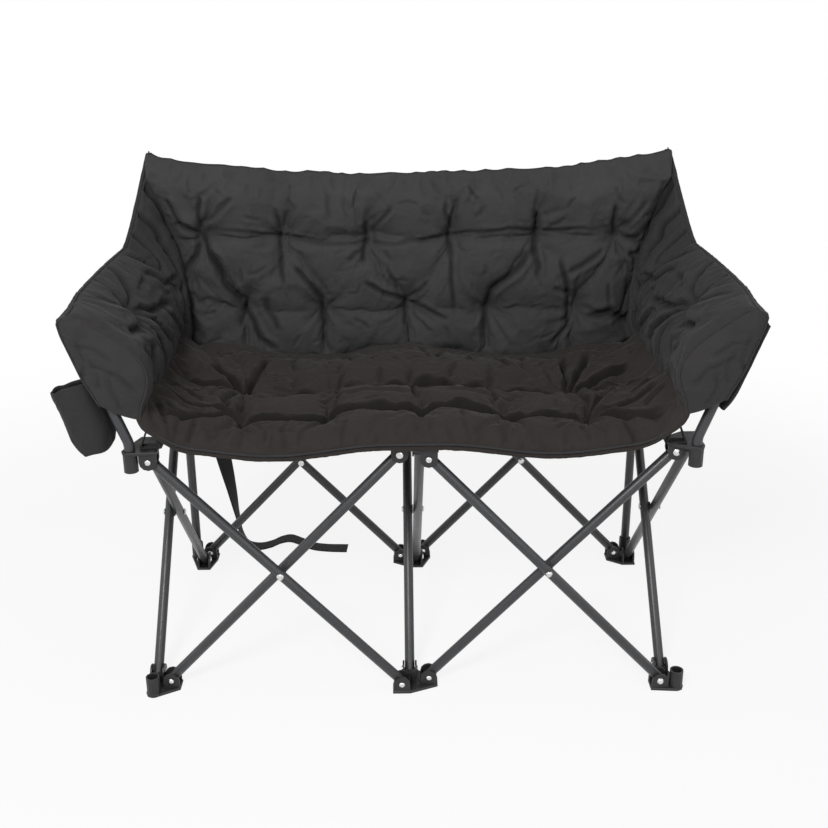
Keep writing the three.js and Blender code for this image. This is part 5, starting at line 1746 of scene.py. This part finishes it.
class CHAIR_OT_stage(bpy.types.Operator):
    """Set the floor, the soft lamps, the pale surround and the camera"""
    bl_idname = "chair.stage"
    bl_label = "Stage"

    def execute(self, context):
        scene = context.scene
        stage = scene.chair_stage
        scene.view_settings.view_transform = "Standard"
        self.add_camera(scene)
        self.add_surround(scene, stage)
        self.add_floor(stage)
        for name, setting, factor, size, place, aim in LAMPS:
            lamp = bpy.data.lights.new(name, "AREA")
            lamp.energy = factor * getattr(stage, setting)
            lamp.size = size
            obj = in_scene(name, lamp)
            obj.location = place
            obj.rotation_euler = (Vector(aim) - Vector(place)).to_track_quat("-Z", "Y").to_euler()
        return {"FINISHED"}

    def add_camera(self, scene):
        camera = bpy.data.cameras.new("camera")
        camera.sensor_width = SENSOR_WIDTH
        camera.lens = FOCAL_PIXELS / PHOTO_PIXELS * SENSOR_WIDTH
        camera.shift_y = SHIFT_PIXELS / PHOTO_PIXELS
        obj = in_scene("camera", camera)
        turn = (Matrix.Rotation(CAMERA_YAW, 4, "Z") @ Matrix.Rotation(math.pi / 2 - CAMERA_PITCH, 4, "X")
                @ Matrix.Rotation(CAMERA_ROLL, 4, "Z"))
        obj.matrix_world = Matrix.Translation(CAMERA_PLACE) @ turn
        scene.camera = obj

    def add_surround(self, scene, stage):
        """Weak even light from all round, behind which the camera sees white"""
        world = bpy.data.worlds.new("surround")
        scene.world = world
        world.use_nodes = True
        tree = world.node_tree
        tree.nodes.clear()
        seen = seen_directly(tree)
        strength = maths(tree, "ADD", maths(tree, "MULTIPLY", seen, 1 - stage.sky), stage.sky)
        ground = node(tree, "ShaderNodeBackground", {"Color": (1, 1, 1, 1), "Strength": strength})
        node(tree, "ShaderNodeOutputWorld", {0: ground.outputs[0]})

    def add_floor(self, stage):
        """A matt floor that looks white to the camera and shows a share of the shadow near the chair"""
        bm = bmesh.new()
        bmesh.ops.create_grid(bm, x_segments=2, y_segments=2, size=FLOOR_HALF)
        mesh = bpy.data.meshes.new("floor")
        bm.to_mesh(mesh)
        bm.free()
        floor = in_scene("floor", mesh)
        material = bpy.data.materials.new("studio floor")
        material.use_nodes = True
        tree = material.node_tree
        tree.nodes.clear()
        seen = seen_directly(tree)
        matt = node(tree, "ShaderNodeBsdfDiffuse", {"Color": (0.95, 0.95, 0.95, 1)}).outputs[0]
        glow = node(tree, "ShaderNodeEmission", {"Color": (1, 1, 1, 1), "Strength": 1.0}).outputs[0]
        place = object_place(tree)
        away = node(tree, "ShaderNodeVectorMath", {0: place}, operation="LENGTH").outputs["Value"]
        fade = {"Value": away, "From Min": SHADOW_NEAR, "From Max": SHADOW_FAR, "To Min": 1.0, "To Max": 0.0}
        near = node(tree, "ShaderNodeMapRange", fade, interpolation_type="SMOOTHSTEP").outputs[0]
        shown = maths(tree, "SUBTRACT", 1.0, maths(tree, "MULTIPLY", near, stage.floor_shadow))
        white = maths(tree, "MULTIPLY", seen, shown)
        both = node(tree, "ShaderNodeMixShader", {0: white, 1: matt, 2: glow})
        node(tree, "ShaderNodeOutputMaterial", {0: both.outputs[0]})
        mesh.materials.append(material)


class CHAIR_PT_panel(bpy.types.Panel):
    """Sizes, colours and pieces of the chair"""
    bl_idname = "CHAIR_PT_panel"
    bl_label = "Camping Chair"
    bl_space_type = "VIEW_3D"
    bl_region_type = "UI"
    bl_category = "Camping Chair"

    def draw(self, context):
        layout = self.layout
        for label, group in (("Frame", "chair_frame"), ("Cover", "chair_cover"),
                             ("Colours", "chair_colours"), ("Stage", "chair_stage")):
            box = layout.box()
            box.label(text=label)
            settings = getattr(context.scene, group)
            for key in settings.__annotations__:
                box.prop(settings, key)
        for step in STEPS:
            layout.operator(step.bl_idname)


STEPS = (
    CHAIR_OT_stage,
    CHAIR_OT_strap,
    CHAIR_OT_tubes,
    CHAIR_OT_mouldings,
    CHAIR_OT_rivets,
    CHAIR_OT_seat,
    CHAIR_OT_back,
    CHAIR_OT_wings,
    CHAIR_OT_bags,
    CHAIR_OT_trims,
)
SETTINGS = (
    ("chair_frame", FrameSizes),
    ("chair_cover", CoverSizes),
    ("chair_colours", FinishColours),
    ("chair_stage", StageSettings),
)


def register():
    for name, group in SETTINGS:
        bpy.utils.register_class(group)
        setattr(bpy.types.Scene, name, bpy.props.PointerProperty(type=group))
    for step in STEPS:
        bpy.utils.register_class(step)
    bpy.utils.register_class(CHAIR_PT_panel)


def unregister():
    bpy.utils.unregister_class(CHAIR_PT_panel)
    for step in reversed(STEPS):
        bpy.utils.unregister_class(step)
    for name, group in reversed(SETTINGS):
        delattr(bpy.types.Scene, name)
        bpy.utils.unregister_class(group)


def main():
    register()
    bpy.ops.chair.stage()
    bpy.ops.chair.strap()
    bpy.ops.chair.tubes()
    bpy.ops.chair.mouldings()
    bpy.ops.chair.rivets()
    bpy.ops.chair.seat()
    bpy.ops.chair.back()
    bpy.ops.chair.wings()
    bpy.ops.chair.bags()
    bpy.ops.chair.trims()


if __name__ == "__main__":
    main()
